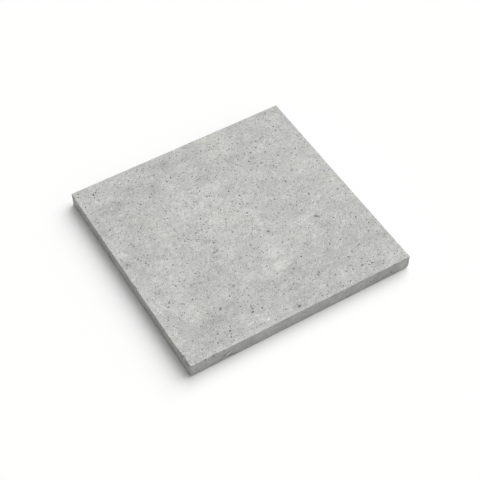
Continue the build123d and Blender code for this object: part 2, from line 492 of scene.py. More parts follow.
# Marks of the wearing face that the photograph shows: X, Y, length, width and the turn of the
# length from X in degrees. A mark's depth follows its width.
faceMarks = {
    "pore": [
        (-254.6, 269, 8, 7.5, 22), (-247.2, 272, 6.5, 5, 22), (-103, -244, 8, 6.5, 0),
        (-98, -235, 4.5, 4.5, 0), (-98, -229, 3.5, 3.5, 0),
        (-3, -286, 8.5, 7, 0), (-163, -198, 9.5, 5.5, 20), (84, -232, 7, 4, 70), (90, -226, 6, 4, 45),
        (176, 57, 8.5, 4.5, 75), (203, -8, 9.5, 5.5, 85), (-91, -47, 9, 3.5, 12), (-82, -45, 8, 4, 10),
        (-254, -120, 8.5, 4.5, 45), (-262, -131, 5.5, 4.5, 0), (158, 143, 7, 6, 0), (208, 143, 7, 4, 70),
        (258, 141, 6, 5, 80), (249, 121, 5.5, 4.5, 0), (121, 22, 6.5, 4.5, 35), (54, -59, 8, 4, -55),
        (65, -105, 6, 4, -35), (80, -165, 6.5, 5, 80), (204, -269, 6.5, 4, -45), (213, -268, 8, 3.5, -35),
        (118, -252, 6, 4, 40), (146, -257, 8, 3.5, -40), (115, -279, 5, 4, 0), (-202, -255, 6.5, 3.5, 10),
        (-174, -262, 6.5, 5.5, 0), (-180, -278, 4.5, 4.5, 0), (-23, 142, 6, 4, 85), (-23, 152, 6, 3.5, 85),
        (-18, 118, 6, 3.5, -70), (133, 164, 5.5, 5.5, 0), (-77, 212, 6, 5, 0), (-63, 219, 6, 5, 50),
        (174, 196, 6, 5, 90), (252, 237, 6, 5.5, 0), (-272, 145, 8, 5, 40), (-264, 113, 4.5, 3.5, 80),
        (-170, 180, 6, 4, -30), (40, 53, 8, 4.5, 90), (54, 77, 6, 5, 40), (24, 34, 5, 4, -50),
        (-66, 62, 5.5, 4, 55), (-290.5, 281, 5.5, 4.5, -50), (-286, 290.5, 5, 4.5, 0), (-289, 242, 5, 5, 60),
        (260, -131, 6, 5, 60), (-203, -141, 5.5, 4.5, 0), (-230, -140, 5, 4, 45), (-6, -147, 5.5, 4.5, 0),
        (-30, -95, 5, 3.5, 0), (-5, -73, 7, 4, -20), (-102, -156, 9, 3, 20), (-125, -177, 5.5, 4.5, 0),
        (-78, -245, 5.5, 4.5, 0), (-160, -78, 5, 4, 0), (271, -1, 8, 3, 10), (273, -31, 6, 4, 40),
        (146, -14, 4.5, 3.5, 0), (-256, 29, 7, 3, -75), (-285, 28, 7.5, 3.5, 75), (159, -168, 5.5, 4, 60),
        (188, -170, 4, 4, 0), (190, -216, 7, 3, 90), (5, -178, 6, 4.5, 0), (45, -187, 6, 4, 30),
        (-170, -155, 6, 3, 90), (-253, -273, 5, 3.5, 0), (-193, -194, 4.5, 3.5, 0), (-77, -20, 7.5, 4.5, 45),
        (7, -234, 6, 4, 70), (21, -224, 4, 3.5, 0), (117, -289, 4.5, 4.5, 0), (58, -288, 7.5, 3.5, 20),
        (188, -262, 8, 4.5, 25), (212, -104, 5.5, 4.5, 0), (38, 103, 5, 5, 0), (40, 19, 7, 4.5, 30),
        (153, 207, 7, 4, 30), (152, 187, 9, 3.5, -70), (136, 191, 6, 3.5, 15), (107, 271, 7, 4, 65),
        (-128, 129, 6, 4, 70), (-205, 111, 6, 4, 50), (-98, 28, 7, 4.5, -10), (-82, 30, 6, 3.5, 45),
        (-14, 29, 6, 3.5, -70), (-86, 4, 5, 3.5, -60), (-140, 189, 7, 4, 70),
        (138, -287, 5, 3.5, 50),
    ],
    "speck": [
        (-197, -7, 7, 5, 90), (-221, -12, 4, 3, 0), (-130, -12, 4, 3, 0), (-85, -14, 4, 3, 60),
        (-68, -17, 4, 3, 0), (-70, -6, 6, 3, 90), (-245, -33, 4, 3, 30), (-215, -40, 5, 3, 20),
        (-162, -42, 6, 5, 60), (-192, -30, 5, 4, 0), (-165, -22, 6, 3, 100), (-260, -65, 6, 4, 45),
        (-243, -69, 4, 3, 0), (-268, -81, 5, 4, 0), (-261, -86, 6, 4, 120), (-234, -88, 4, 3, 0),
        (-245, -92, 4, 3, 0), (-192, -83, 9, 3, 35), (-182, -61, 4, 3, 0), (-142, -77, 4, 3, 80),
        (-110, -67, 5, 3.5, 0), (-122, -62, 5, 3.5, 90), (-67, -68, 4, 3.5, 0), (-102, -93, 4, 3, 0),
        (-71, -94, 4, 3, 0), (-3, -87, 6, 4, 80), (-10, -113, 5, 4, 0), (-25, -119, 5, 3.5, 0),
        (-47, -123, 4, 3, 0), (-47, -132, 5, 3.5, 90), (-247, -128, 4, 3, 40), (-183, -124, 4, 3, 0),
        (-163, -137, 5, 3, 60), (-147, -143, 6, 4, 45), (-132, -138, 4, 3, 50), (-186, -102, 7, 3, 90),
        (-167, -108, 10, 3, 90), (-161, -108, 5, 3, 90), (-144, -112, 5, 3, 80), (-97, -134, 5, 3, 0),
        (-276, -157, 6, 4.5, 0), (-280, -162, 5, 3, 70), (-148, -163, 6, 3, 90), (-100, -172, 6, 3.5, 90),
        (-29, -162, 5, 3, 80), (-285, -174, 4, 3, 0), (-278, -184, 5, 3, 0), (-267, -185, 5, 4, 0),
        (-172, -188, 4, 3, 30), (-86, -197, 8, 4, 35), (-291, -205, 5, 4, 0), (-276, -206, 4, 3, 0),
        (-287, -217, 4, 3, 0), (-225, -218, 9, 3.5, 50), (-188, -206, 6.5, 5, 80), (-229, -227, 4, 3, 0),
        (-284, -229, 5, 3, 45), (-119, -216, 5, 4, 0), (-98, -213, 5, 3.5, 30), (-18, -203, 4, 3, 0),
        (-20, -211, 5, 3.5, 0), (-15, -237, 6, 4.5, 45), (-43, -227, 4, 3, 0), (-261, -243, 5, 3, 0),
        (-188, -258, 4, 3, 0), (-212, -262, 5, 3.5, 0), (-168, -252, 9, 3, 95), (-176, -271, 5, 3, 70),
        (-215, -277, 5, 3, 0), (-252, -255, 4, 3, 80), (-187, -291.5, 5, 3.5, 0), (-157, -267, 5, 3.5, 0),
        (-34, -267, 5, 3, 80), (-35, -277, 6, 2.5, 60), (-42, -280, 4, 3, 60), (-180, -289, 4, 4, 0),
        (-68, -291, 6, 4, 0), (-106, -283, 5, 4, 0), (-208, -291, 4, 3, 0), (-286, -19, 5, 3, -60),
        (-148, -97, 5, 4, 0), (-202, -98, 6, 3, 0), (-218, -86, 7, 4, 50), (-113, -104, 8, 3.5, 90),
        (59, -175, 5, 3.5, 80), (9, -205, 5, 5, 0), (13, -214, 4, 2.5, 50), (0, -235, 4, 3, 0),
        (25, -234, 4, 2.5, 70), (41, -240, 4, 3, 30), (38, -220, 4, 3, 0), (39, -261, 5, 4, 0),
        (163, -261, 6, 3.5, -35), (163, -249, 7, 3, 25), (85, -268, 7, 4.5, 30), (149, -273, 5, 3.5, 30),
        (77, -285, 6, 3.5, 70), (111, -291, 4, 2.5, 45), (70, -291, 6, 3, 10), (276, -162, 5.5, 4.5, 0),
        (290, -170, 5, 4, 0), (277, -152, 8, 4, 20), (261, -183, 7, 3.5, 50), (278, -194, 7, 4, 0),
        (261, -216, 6, 4, 40), (216, -207, 14, 3, 20), (175, -225, 8, 3.5, 85), (114, -203, 5, 2.5, 75),
        (198, -245, 6, 5, 0), (240, -255, 6, 4, 30), (205, -260, 5, 3.5, 15), (239, -277, 4, 4, 0),
        (234, -283, 5, 4, 0), (181, -283, 5, 3.5, 30), (59, -66, 3, 3, 0), (57, -72, 3, 3, 0),
        (15, -44, 7, 4.5, 60), (38, -43, 6, 3, 70), (60, -32, 6, 3.5, 55), (28, -63, 5, 3, 50),
        (12, -2, 6, 3, 30), (43, -3, 5, 4, 0), (70, -69, 3.5, 3.5, 0), (86, -49, 4, 3, 0),
        (96, -32, 5, 3, 65), (106, -22, 7, 3, 30), (115, -28, 5, 3, -60), (122, -17, 3, 2.5, 70),
        (157, -23, 5, 4, 0), (163, -14, 6, 3, 80), (165, -29, 4, 3, 0), (177, -33, 4, 3, 60),
        (188, -23, 5, 4, 0), (197, -38, 6.5, 6, 0), (218, -38, 5, 2.5, 30), (240, -45, 5, 4, 0),
        (245, -27, 6, 3, 30), (290, -30, 5, 3, 50), (281, -43, 4, 3, 50), (281, -55, 6, 3, 60),
        (271, -74, 4, 3, 60), (243, -93, 4, 3, 60), (257, -114, 7, 4, 30), (281, -116, 5, 4, 50),
        (281, -123, 4, 3, 0), (235, -145, 6, 3.5, 60), (207, -137, 5, 4, 90), (179, -129, 5, 3.5, 30),
        (171, -146, 5, 4, 0), (183, -115, 4, 4, 0), (175, -101, 4, 3, 0), (182, -98, 4, 3, 0),
        (170, -93, 4, 3, 0), (137, -95, 4, 3, 0), (133, -79, 5, 3, 45), (131, -72, 5, 2.5, 60),
        (138, -70, 7, 2.5, 60), (105, -93, 6, 3.5, 60), (78, -124, 4, 3, 0), (109, -136, 6, 3.5, -20),
        (112, -142, 4, 4, 0), (119, -128, 4, 3, 0), (56, -144, 6, 4, -30), (5, -135, 4, 3.5, 0),
        (10, -131, 4, 3, 0), (9, -109, 5, 3.5, 0), (8, -103, 5, 4, 0), (122, 135, 7, 5, 50),
        (143, 138, 6, 3, 60), (134, 128, 6, 3, 55), (162, 130, 5, 3.5, 60), (179, 118, 8, 5, 80),
        (182, 110, 5, 3, 60), (94, 113, 6, 5, 0), (76, 129, 5.5, 5, 0), (55, 108, 5, 4, 45),
        (35, 95, 4, 3, 50), (10, 105, 6.5, 4, 60), (4, 100, 4, 4, 0), (175, 101, 5, 4, 0),
        (153, 84, 7.5, 4.5, 70), (108, 77, 6, 4, 75), (81, 69, 5, 3, 60), (14, 68, 5, 4, 0),
        (23, 55, 6, 5, 0), (57, 44, 5, 4, 0), (19, 41, 5, 3.5, 60), (68, 22, 7, 4, 20),
        (90, 62, 7, 4, 25), (82, 53, 6, 3.5, 65), (113, 41, 4, 4, 0), (194, 46, 6, 5, 0),
        (184, 32, 4, 3, 50), (206, 25, 6, 3.5, 65), (158, 17, 6, 3.5, 70), (164, 22, 4, 3, 0),
        (216, 13, 5, 4, 0), (143, 1, 6, 4, 0), (278, 38, 5, 5, 0), (290.5, 34, 5, 5, 0),
        (282, 75, 7, 3.5, 85), (280, 66, 5, 3, 45), (211, 83, 7, 3.5, 55), (234, 97, 5, 3, 30),
        (228, 128, 7, 3.5, 35), (240, 132, 8, 3, 50), (290, 147, 5, 4, 0), (10, 3, 4, 3, 50),
        (16, 291.5, 11, 3, 0), (182, 291, 4, 3.5, 0), (187, 287, 4, 3, 0), (258, 289.5, 7, 4, 65),
        (232, 279, 6, 4, 50), (246, 279, 5, 4, 0), (238, 272, 5, 3, 60), (247, 265, 6, 4, 40),
        (101, 282, 5, 4, 50), (70, 268, 4, 4, 0), (66, 262, 4, 3, 50), (34, 257, 5, 4, 0),
        (47, 260, 7, 3.5, 35), (67, 251, 8, 4, -60), (76, 248, 6, 4, -60), (153, 260, 6, 3.5, -65),
        (101, 236, 5, 3, 20), (102, 243, 4, 3, 20), (129, 238, 6, 3, 70), (141, 233, 7, 4, 45),
        (54, 237, 5, 3.5, 40), (112, 227, 5, 4, 40), (122, 230, 5, 3, 70), (118, 222, 5, 4, 0),
        (214, 231, 6, 3, 70), (249, 222, 8, 4, 80), (224, 215, 5, 3, 70), (232, 210, 6, 4, 40),
        (185, 214, 8, 4, 80), (199, 217, 7, 4, 85), (197, 205, 5, 4, 50), (93, 213, 6, 3.5, 65),
        (180, 184, 5, 3, 40), (209, 187, 6, 4, 60), (230, 191, 5, 3, 55), (269, 199, 5, 4, 50),
        (281, 204, 5, 4, 0), (187, 171, 8, 4, 15), (234, 155, 5, 4, 50), (287, 178, 6, 4, 15),
        (287, 162, 6, 4, 50), (99, 173, 5, 4, 60), (64, 171, 6, 4, -60), (68, 179, 5, 3, 60),
        (80, 161, 5, 3, 55), (62, 199, 6, 3, 55), (112, 184, 6, 3, 60), (25, 195, 8, 3, 80),
        (9, 180, 4, 3, 0), (14, 166, 5, 3, 70), (15, 159, 5, 4, 0), (32, 161, 5, 4, 0),
        (15, 151, 4, 4, 0), (-241, 144, 5, 4, 80), (-172, 142, 5, 4, 90), (-116, 145, 5, 3, 80),
        (-291.5, -291.5, 4, 3, 45),
        (-76, 114, 5, 5, 0), (-54, 118, 6, 4, 70), (-67, 109, 5, 3, 75), (-66, 102, 5, 4, 75),
        (-58, 108, 5, 5, 0), (-49, 107, 6, 4, 65), (-11, 115, 7, 4, 80), (-25, 88, 6, 4, 40),
        (-40, 88, 5, 4, 0), (-10, 96, 6, 4, 50), (-200, 105, 4, 3, 0), (-214, 105, 6, 3.5, 60),
        (-142, 106, 6, 5, 0), (-134, 105, 5, 3.5, -45), (-108, 101, 8, 4, 0), (-100, 122, 4, 4, 0),
        (-242, 104, 4, 4, 0), (-184, 92, 6, 4, -30), (-188, 86, 5, 3, 60), (-148, 96, 5, 4, 50),
        (-143, 89, 6, 4, 70), (-223, 82, 5, 3, -60), (-247, 70, 7, 4, 85), (-92, 79, 5, 3, 65),
        (-200, 75, 5, 4, 0), (-35, 61, 6, 4, 55), (-10, 61, 6, 6, 0), (-193, 63, 5, 2.5, 70),
        (-112, 50, 5, 4, 0), (-112, 40, 5, 4, 0), (-143, 36, 5, 3.5, 90), (-69, 43, 5, 5, 0),
        (-89.5, 32, 7, 3, 25), (-65, 26, 5, 4, 90), (-231, 28, 4, 4, 0), (-259, 37, 5, 4, 80),
        (-251, 22, 7, 3, -80), (-291, 50, 8, 3, 90), (-291, 20, 4, 4, 0), (-291, 3, 4, 4, 0),
        (-245, 9, 8, 4, -80), (-242, 1, 5, 5, 0), (-214, 14, 5, 3, 80), (-162, 11, 6, 4, -70),
        (-134, 20, 6, 4, -70), (-124, 21, 6, 4, -80), (-119, 14, 4, 3, 0), (-109, 4, 5, 4, 0),
        (-103, 8, 6, 4, -30), (-98, 14, 5, 4, 50), (-256, 259, 5, 5, 0), (-241, 279, 5, 5, 0),
        (-249, 227, 6, 4, 45), (-221, 219, 4, 4, 0), (-212, 212, 6, 5, 90), (-214, 201, 5, 3, 90),
        (-222, 192, 5, 4, 50), (-263, 217, 6, 4, -45), (-286, 181, 7, 3, 90), (-286, 171, 5, 4, 90),
        (-237, 159, 6, 4, 30), (-212, 156, 6, 3, 50), (-194, 272, 6, 4, 80), (-181, 265, 6, 4, 10),
        (-196, 289, 4, 4, 0), (-158, 265, 5, 4, 60), (-150, 260, 4, 4, 0), (-146, 251, 5, 4, 0),
        (-150, 290.5, 6, 5, 0), (-129, 262, 6, 4, 50), (-127, 282, 5, 4, 0), (-122, 288, 4, 4, 0),
        (-112, 278, 4, 4, 0), (-106, 281, 5, 4, 90), (-96, 246, 6, 5, 40), (-14, 278, 8, 5, 10),
        (-10, 257, 5, 5, 90), (-5, 249, 7, 5, 0), (-115, 216, 6, 4, 60), (-27, 217, 5, 5, 0),
        (-44, 212, 6, 4, 55), (-194, 197, 5, 4, 50), (-131, 195, 6, 5, 90), (-99, 194, 7, 4, 40),
        (-8, 178, 5, 5, 0), (-2, 178, 4, 4, 0), (-16, 193, 7, 3.5, 40), (-92, 166, 5, 4, 0),
        (-121, 166, 5, 4, 50), (-186, 154, 5, 4, 90), (-72, 182, 5, 3, 20),
    ],
    "faint": [
        (53, -162, 4, 3, 0), (15, -194, 5, 3, 60), (34, -196, 3, 3, 0), (85, -180, 3, 3, 0),
        (28, -211, 4, 3, 0), (27, -227, 4, 3, 0), (97, -228, 4, 3, 0), (154, -251, 4, 3, 50),
        (81, -246, 4, 2, 0), (44, -274, 4, 3, 0), (167, -160, 4, 3, 0), (272, -204, 6, 3, 70),
        (246, -205, 4, 3, 0), (287, -212, 3.4, 2.6, 90), (118, -220, 4, 3, 0), (128, -192, 5, 3, 60),
        (186, -234, 5, 3, 0), (197, -263, 5, 3, 60), (174, -258, 5, 3.6, 0), (233, -273, 4, 3, 0),
        (190, -278, 5, 3, 20), (205, -290, 4, 3, 60), (254, -247, 5, 3.6, 0), (271, -250, 4, 3, 0),
        (289, -246, 4, 3, 40), (290, -280, 4, 4, 0), (105, -278, 4, 3, 0), (102, -255, 5, 2.5, 40),
        (56, -47, 5, 3, 60), (33, -39, 4, 2, 80), (71, -21, 7, 3, 85), (75, -28, 3, 3, 0),
        (7, -60, 4, 4, 0), (39, -61, 4, 3, 0), (17, -73, 4, 2.5, 0), (90, -69, 5, 4, 0),
        (98, -71, 4, 3, 0), (92, -61, 5, 3, 50), (107, -12, 4, 3, 0), (211, -41, 6, 4, 0),
        (217, -16, 5, 3, 0), (241, -65, 3, 2, 0), (250, -66, 3, 3, 0), (261, -57, 4, 4, 0),
        (186, -63, 6, 3, -60), (206, -97, 4, 3, 0), (225, -111, 4, 3, 0), (230, -97, 6, 3, 30),
        (243, -109, 5, 4, 0), (270, -102, 6, 3, 40), (218, -126, 5, 4, 0), (165, -110, 5, 3, 60),
        (143, -91, 4, 3, 0), (128, -88, 7, 3, 65), (83, -106, 5, 4, 0), (94, -107, 4, 3, 0),
        (74, -130, 4, 3, 0), (120, -142, 4, 3, -40), (127, -115, 8, 3, 30), (37, -128, 4, 3, 0),
        (41, -137, 4, 3, 0), (184, 132, 4, 4, 0), (189, 121, 4, 4, 0), (196, 118, 5, 3, 70),
        (28, 98, 5, 3, 80), (66, 96, 6, 3, 85), (18, 119, 4, 3, 0), (137, 89, 4, 4, 0),
        (108, 86, 6, 3, 85), (65, 77, 6, 3, 0), (28, 70, 8, 3, 30), (106, 11, 5, 4, 0),
        (97, 16, 2, 2, 0), (104, 60, 5, 3, 75), (83, 41, 4, 3, 0), (149, 60, 6, 3, 85),
        (150, 45, 4, 3, 60), (180, 41, 5, 3, 60), (192, 8, 4, 3, 0), (237, 24, 8, 4, 45),
        (240, 42, 6, 3, 60), (271, 64, 8, 4, 90), (241, 67, 5, 3, 50), (228, 64, 5, 3, 60),
        (204, 68, 4, 3, 0), (179, 71, 4, 4, 0), (215, 91, 5, 3, 65), (216, 106, 4, 3, 0),
        (223, 116, 4, 4, 0), (282, 88, 4, 4, 0), (170, 291, 9, 2.5, -15), (233, 290, 5, 5, 0),
        (255, 259, 8, 5, 0), (122, 281, 8, 3, -30), (28, 267, 5, 3, 90), (60, 254, 4, 3, 0),
        (83, 255, 6, 3, 25), (135, 262, 5, 3, 70), (141, 263, 5, 3, 70), (179, 256, 5, 3, 50),
        (205, 240, 5, 3, 60), (165, 248, 4, 4, 0), (35, 236, 3, 2, 0), (154, 227, 6, 4, 0),
        (262, 230, 5, 3, 0), (259, 215, 5, 3, 0), (227, 204, 4, 3, 0), (192, 211, 4, 3, 0),
        (81, 221, 6, 4, 35), (37, 221, 6, 4, 0), (35, 212, 5, 4, 0), (51, 218, 5, 3, 70),
        (164, 201, 4, 3, 0), (164, 190, 5, 4, 0), (205, 196, 5, 3, 65), (212, 178, 4, 4, 0),
        (189, 180, 5, 3, 0), (235, 172, 5, 3, 50), (270, 162, 6, 3, 30), (146, 169, 14, 3, 20),
        (85, 170, 5, 4, 0), (71, 168, 4, 3, 0), (85, 155, 4, 3, 0), (86, 202, 6, 3, 20),
        (88, 186, 5, 3, 0), (30, 153, 4, 3, 0), (128, 188, 4, 3, 40), (-267, 138, 5, 3, 0),
        (-258, 138, 5, 3.6, 0), (-45, 145, 6, 3, 60), (-117, 123, 8, 3, 85), (-72, 124, 6, 3, 20),
        (-268, 95, 7, 3, 90), (-188, 78, 3.4, 3.4, 0), (-172, 90, 4, 3, 50), (-248, 79, 6, 3, 85),
        (-67, 70, 4, 3, 0), (-17, 58, 4, 3, 0), (-158, 68, 4, 4, 0), (-138, 66, 4, 4, 0),
        (-137, 55, 4, 4, 0), (-102, 59, 4, 3, 0), (-127, 38, 5, 5, 0), (-82, 55, 5, 4, 0),
        (-61, 45, 8, 3, 90), (-225, 14, 5, 3, 90), (-236, 21, 5, 3, 0), (-219, 20, 4, 3, 0),
        (-200, 10, 4, 3, 90), (-185, 21, 7, 4, 20), (-184, 3, 6, 4, 90), (-20, 19, 6, 4, 70),
        (-57, 13, 9, 3, 20), (-46, 9, 5, 4, 0), (-75, 18, 3.4, 3.4, 0), (-151, 45, 5, 3, 90),
        (-278, 277, 5, 3, 0), (-240, 290, 5, 3, 0), (-261, 290, 5, 3, 0), (-291, 235, 4, 3, 0),
        (-252, 244, 7, 4, 85), (-266, 243, 4.8, 4.6, 0), (-277, 246, 6, 4, 60), (-219, 207, 4, 4, 0),
        (-290, 214, 4, 4, 0), (-262, 180, 4, 4, 0), (-210, 163, 3.5, 2.6, 0), (-174, 260, 4, 4, 0),
        (-192, 255, 4, 4, 0), (-163, 273, 6, 3, 80), (-137, 257, 3.5, 3.4, 0), (-117, 272, 4, 3, 0),
        (-85, 268, 4.4, 3.4, 90), (-61, 283, 4, 4, 0), (-54, 279, 5, 4, 0), (-55, 268, 8, 4, -85),
        (-67, 254, 5, 4, 60), (-34, 277, 6, 4, 90), (-70, 204, 7, 3, 90), (-177, 172, 5, 4, 0),
        (-184, 171, 5, 3, 90), (-152, 200, 4, 3, 0), (-55, 188, 5, 4, 0), (-27, 166, 4, 4, 0),
        (-103, 157, 5, 3, 50), (-172, 157, 4, 4, 0), (-144, 155, 5, 3, 60), (-45, 160, 6, 4, -60),
        (-176, 234, 5, 4, 0), (-165, 233, 6, 4, -45), (-126, 230, 4, 4, 0), (-118, -285, 4, 4, 0),
        (-106, -267, 5, 4, 0), (-128, -281, 5, 3, 90), (-157, -276, 4, 3, 0), (-163, -283, 4, 3, 0),
        (-155, -287, 5, 4, 0), (-206, -285, 4, 4, 0), (-204, -278, 5, 3, 0), (-272, -280, 4, 3, 0),
        (-259, -284, 5, 4, 60), (-247, -275, 4, 3, 0), (-239, -277, 4, 3, 0), (-291, -31, 4, 4, 0),
        (-135, -59, 5, 5, 0), (-52, -30, 6, 4, 90), (-60, -118, 6, 4, 90), (-77, -122, 6, 4, 70),
        (-47, -92, 5, 4, 0), (-86, -37, 5, 4, 0),
    ],
    "hollow": [(180.5, -79, 17.6, 13, -52)],
    "smear": [
        (-79.5, -279, 14, 5, 5), (-94.4, -279, 8, 3.5, 0), (-95.7, -258, 7, 6, 0),
        (-126, -279, 6, 3, -60),
    ],
    "fleck": [
        (-237, 205, 9, 5, 55), (-185, 215, 6, 4, 0), (-208, -223, 6, 4.5, 0),
        (-194, -229, 4, 3, 0), (-140, -194, 4, 3, 0), (-178, -34, 8, 2, 60), (139, -291, 5, 2.5, 20),
        (-71, 240, 7, 3, 50), (236, 93, 5, 2, 20), (-180, -282, 6, 2, 0), (-174, -289, 6, 2, 90),
    ],
}

# Marks of the side at low Y: along X and up from the bed, then as above
lowSideMarks = {
    "pore": [(248.5, 14.5, 6.5, 6, 60), (-206.5, 21, 4.5, 3.5, 50), (-214.5, 15.5, 4.5, 3.5, 50)],
    "faint": [(187, 17.5, 7, 6, 0), (196, 17, 5, 3, -70)],
}
# The crack round a loose flake over the lower knock there: two lines of places along X and up
# from the bed, and their size. Across goes from one rim to the other: the share of the half
# width, and how deep the crack is there, which also sets how dark its painted shade is.
lowSideCracks = {
    "lines": [
        [(-218, 13), (-214.5, 15.5), (-210, 18.5), (-206.5, 21), (-200, 24), (-193, 23)],
        [(-211, 12), (-209, 10), (-203, 8.8), (-197, 8.2), (-190, 7), (-182, 6)],
    ],
    "width": 3.2,
    "ends": 0.25,   # the share of the width that is left at both ends
    "depth": 1.3,
    "step": 1.0,
    "wander": 0.4,
    "across": [(-1.0, 0.0), (-0.6, 0.9), (0.0, 1.0), (0.6, 0.9), (1.0, 0.0)],
    "seed": 71,
}

# How each kind of mark is made: its true size for its blurred look in the photograph, its
# depth for its width, how dark it is (partly its own colour and partly painted shade in its
# hollow) and how light, its rings of points from the rim inwards (share of its size, points,
# shares of its depth and of its tone), and whether its rim is crisp.
# Chance pores are made like specks.
fineRings = [(1.0, 12, 0.0, 0.0), (0.84, 10, 0.5, 0.85), (0.5, 6, 0.85, 1.0), (0.0, 1, 1.0, 1.0)]
softRings = [(1.0, 12, 0.0, 0.0), (0.7, 10, 0.4, 0.5), (0.4, 6, 0.8, 0.9), (0.0, 1, 1.0, 1.0)]
coarseRings = [(1.0, 8, 0.0, 0.0), (0.72, 6, 0.7, 1.0), (0.0, 1, 1.0, 1.0)]
markKinds = {
    "pore": {"size": 0.80, "deep": 0.40, "dark": 0.9, "light": 0.0, "rings": fineRings, "crisp": True},
    "speck": {"size": 0.76, "deep": 0.25, "dark": 0.75, "light": 0.0, "rings": coarseRings, "crisp": True},
    "faint": {"size": 0.85, "deep": 0.15, "dark": 0.5, "light": 0.0, "rings": coarseRings, "crisp": False},
    "hollow": {"size": 1.0, "deep": 0.06, "dark": 0.75, "light": 0.0, "rings": softRings, "crisp": False},
    "fleck": {"size": 1.0, "deep": 0.03, "dark": 0.0, "light": 1.3, "rings": softRings, "crisp": False},
    "smear": {"size": 1.0, "deep": 0.02, "dark": 0.0, "light": 0.5, "rings": softRings, "crisp": False},
}

# What all marks share
markShape = {
    "blurBase": 0.6,   # blur hides how slender a mark is, so it is drawn out by the base and
    "blurShare": 0.4,   # this share of length / width together, up to the most
    "blurMost": 1.3,
    "twoWaves": 0.14,   # how far two and three waves bend its outline in and out
    "threeWaves": 0.16,
    "room": 1.2,   # how much larger than the oval the mesh takes it to be
    "apart": 0.8,   # between a chance pore and any other mark
    "chanceDeep": (0.3, 0.6),   # the depth of a chance pore as a share of its width
}

# The panels between the strips. First their mesh: its step, its room round each mark, the
# border without chance pores, its seed and the number of the first mark. Then their chance
# pores: seed, how many, their median length and its spread, the longest, how much longer than
# wide they can be, and how dark, partly as painted shade in the pore.
panels = {
    "face": {
        "step": 4.3, "room": 0.7, "border": 2.5, "meshSeed": 51, "firstMark": 0, "seed": 5, "count": 800,
        "length": 1.7, "spread": 0.30, "longest": 3.2, "slender": 2.0, "dark": (0.5, 1),
    },
    "side": {
        "step": 4.5, "room": 0.7, "border": 2.5, "meshSeed": 52, "firstMark": 5000, "seed": 6, "count": 150,
        "length": 1.5, "spread": 0.3, "longest": 2.6, "slender": 1.5, "dark": (0.3, 0.8),
    },
    "bed": {
        "step": 15.0, "room": 1.0, "border": 4.0, "meshSeed": 53, "firstMark": 9000, "seed": 7, "count": 420,
        "length": 2.4, "spread": 0.35, "longest": 5.5, "slender": 1.4, "dark": (0.4, 1),
    },
}


def ovals(listed, kind):
    # the columns of a given list: place, half sizes, turn, depth, darkness and lightness
    x, y, length, width, turn = np.array(listed, float).T
    plan = markKinds[kind]
    tones = np.broadcast_to([plan["dark"], plan["light"]], (len(x), 2))
    drawn = markShape["blurBase"] + markShape["blurShare"] * length / width
    drawn = np.clip(drawn, 1, markShape["blurMost"])
    half = plan["size"] / 2 * np.array([length * drawn, width / drawn])
    return np.c_[x, y, half.T, np.radians(turn), width * plan["deep"], tones]


def furrow(line, plan, seed):
    # A crack as plan points: rows beside a line. It narrows to both ends with the sine of the
    # way along it, and wanders a little by chance. Returns the rows and the places along it.
    draw = np.random.default_rng(seed)
    corners = np.array(line, float)
    run = np.concatenate([[0], np.cumsum(np.linalg.norm(np.diff(corners, axis=0), axis=1))])
    along = np.arange(0, run[-1], plan["step"])
    middle = np.stack([np.interp(along, run, corners[:, axis]) for axis in (0, 1)], -1)
    ahead = np.gradient(middle, axis=0)
    across = np.c_[-ahead[:, 1], ahead[:, 0]] / np.linalg.norm(ahead, axis=1, keepdims=True)
    middle = middle + across * draw.uniform(-plan["wander"], plan["wander"], (len(along), 1))
    wide = plan["width"] / 2 * (plan["ends"] + (1 - plan["ends"]) * np.sin(math.pi * along / run[-1]))
    rows = []
    for share, deep in plan["across"]:
        place = middle + across * (share * wide)[:, None]
        # the crack is darker where it is deeper: painted shade in it
        toned = np.tile([deep * plan["depth"], deep, 0.0, -1.0], (len(along), 1))
        rows.append(np.c_[place, toned])
    return np.vstack(rows), middle


def scatter(plan, low, high, taken):
    # chance pores between two plan corners, each clear of those taken and of the ones before
    draw = np.random.default_rng(plan["seed"])
    count = plan["count"]
    place = draw.uniform(low, high, (count, 2))
    length = draw.lognormal(math.log(plan["length"]), plan["spread"], count)
    half = np.minimum(length, plan["longest"]) / 2
    thin = half / draw.uniform(1, plan["slender"], count)
    turn = draw.uniform(0, math.pi, count)
    deep = 2 * thin * draw.uniform(*markShape["chanceDeep"], count)
    dark = draw.uniform(*plan["dark"], count)
    made = np.c_[place, half, thin, turn, deep, dark, np.zeros(count)]
    every = np.vstack([taken, made])
    apart = np.linalg.norm(made[:, None, :2] - every[None, :, :2], axis=-1)
    near = apart < made[:, None, 2] + every[None, :, 2] + markShape["apart"]
    earlier = np.arange(len(every))[None, :] < (np.arange(count) + len(taken))[:, None]
    return made[~(near & earlier).any(1)]


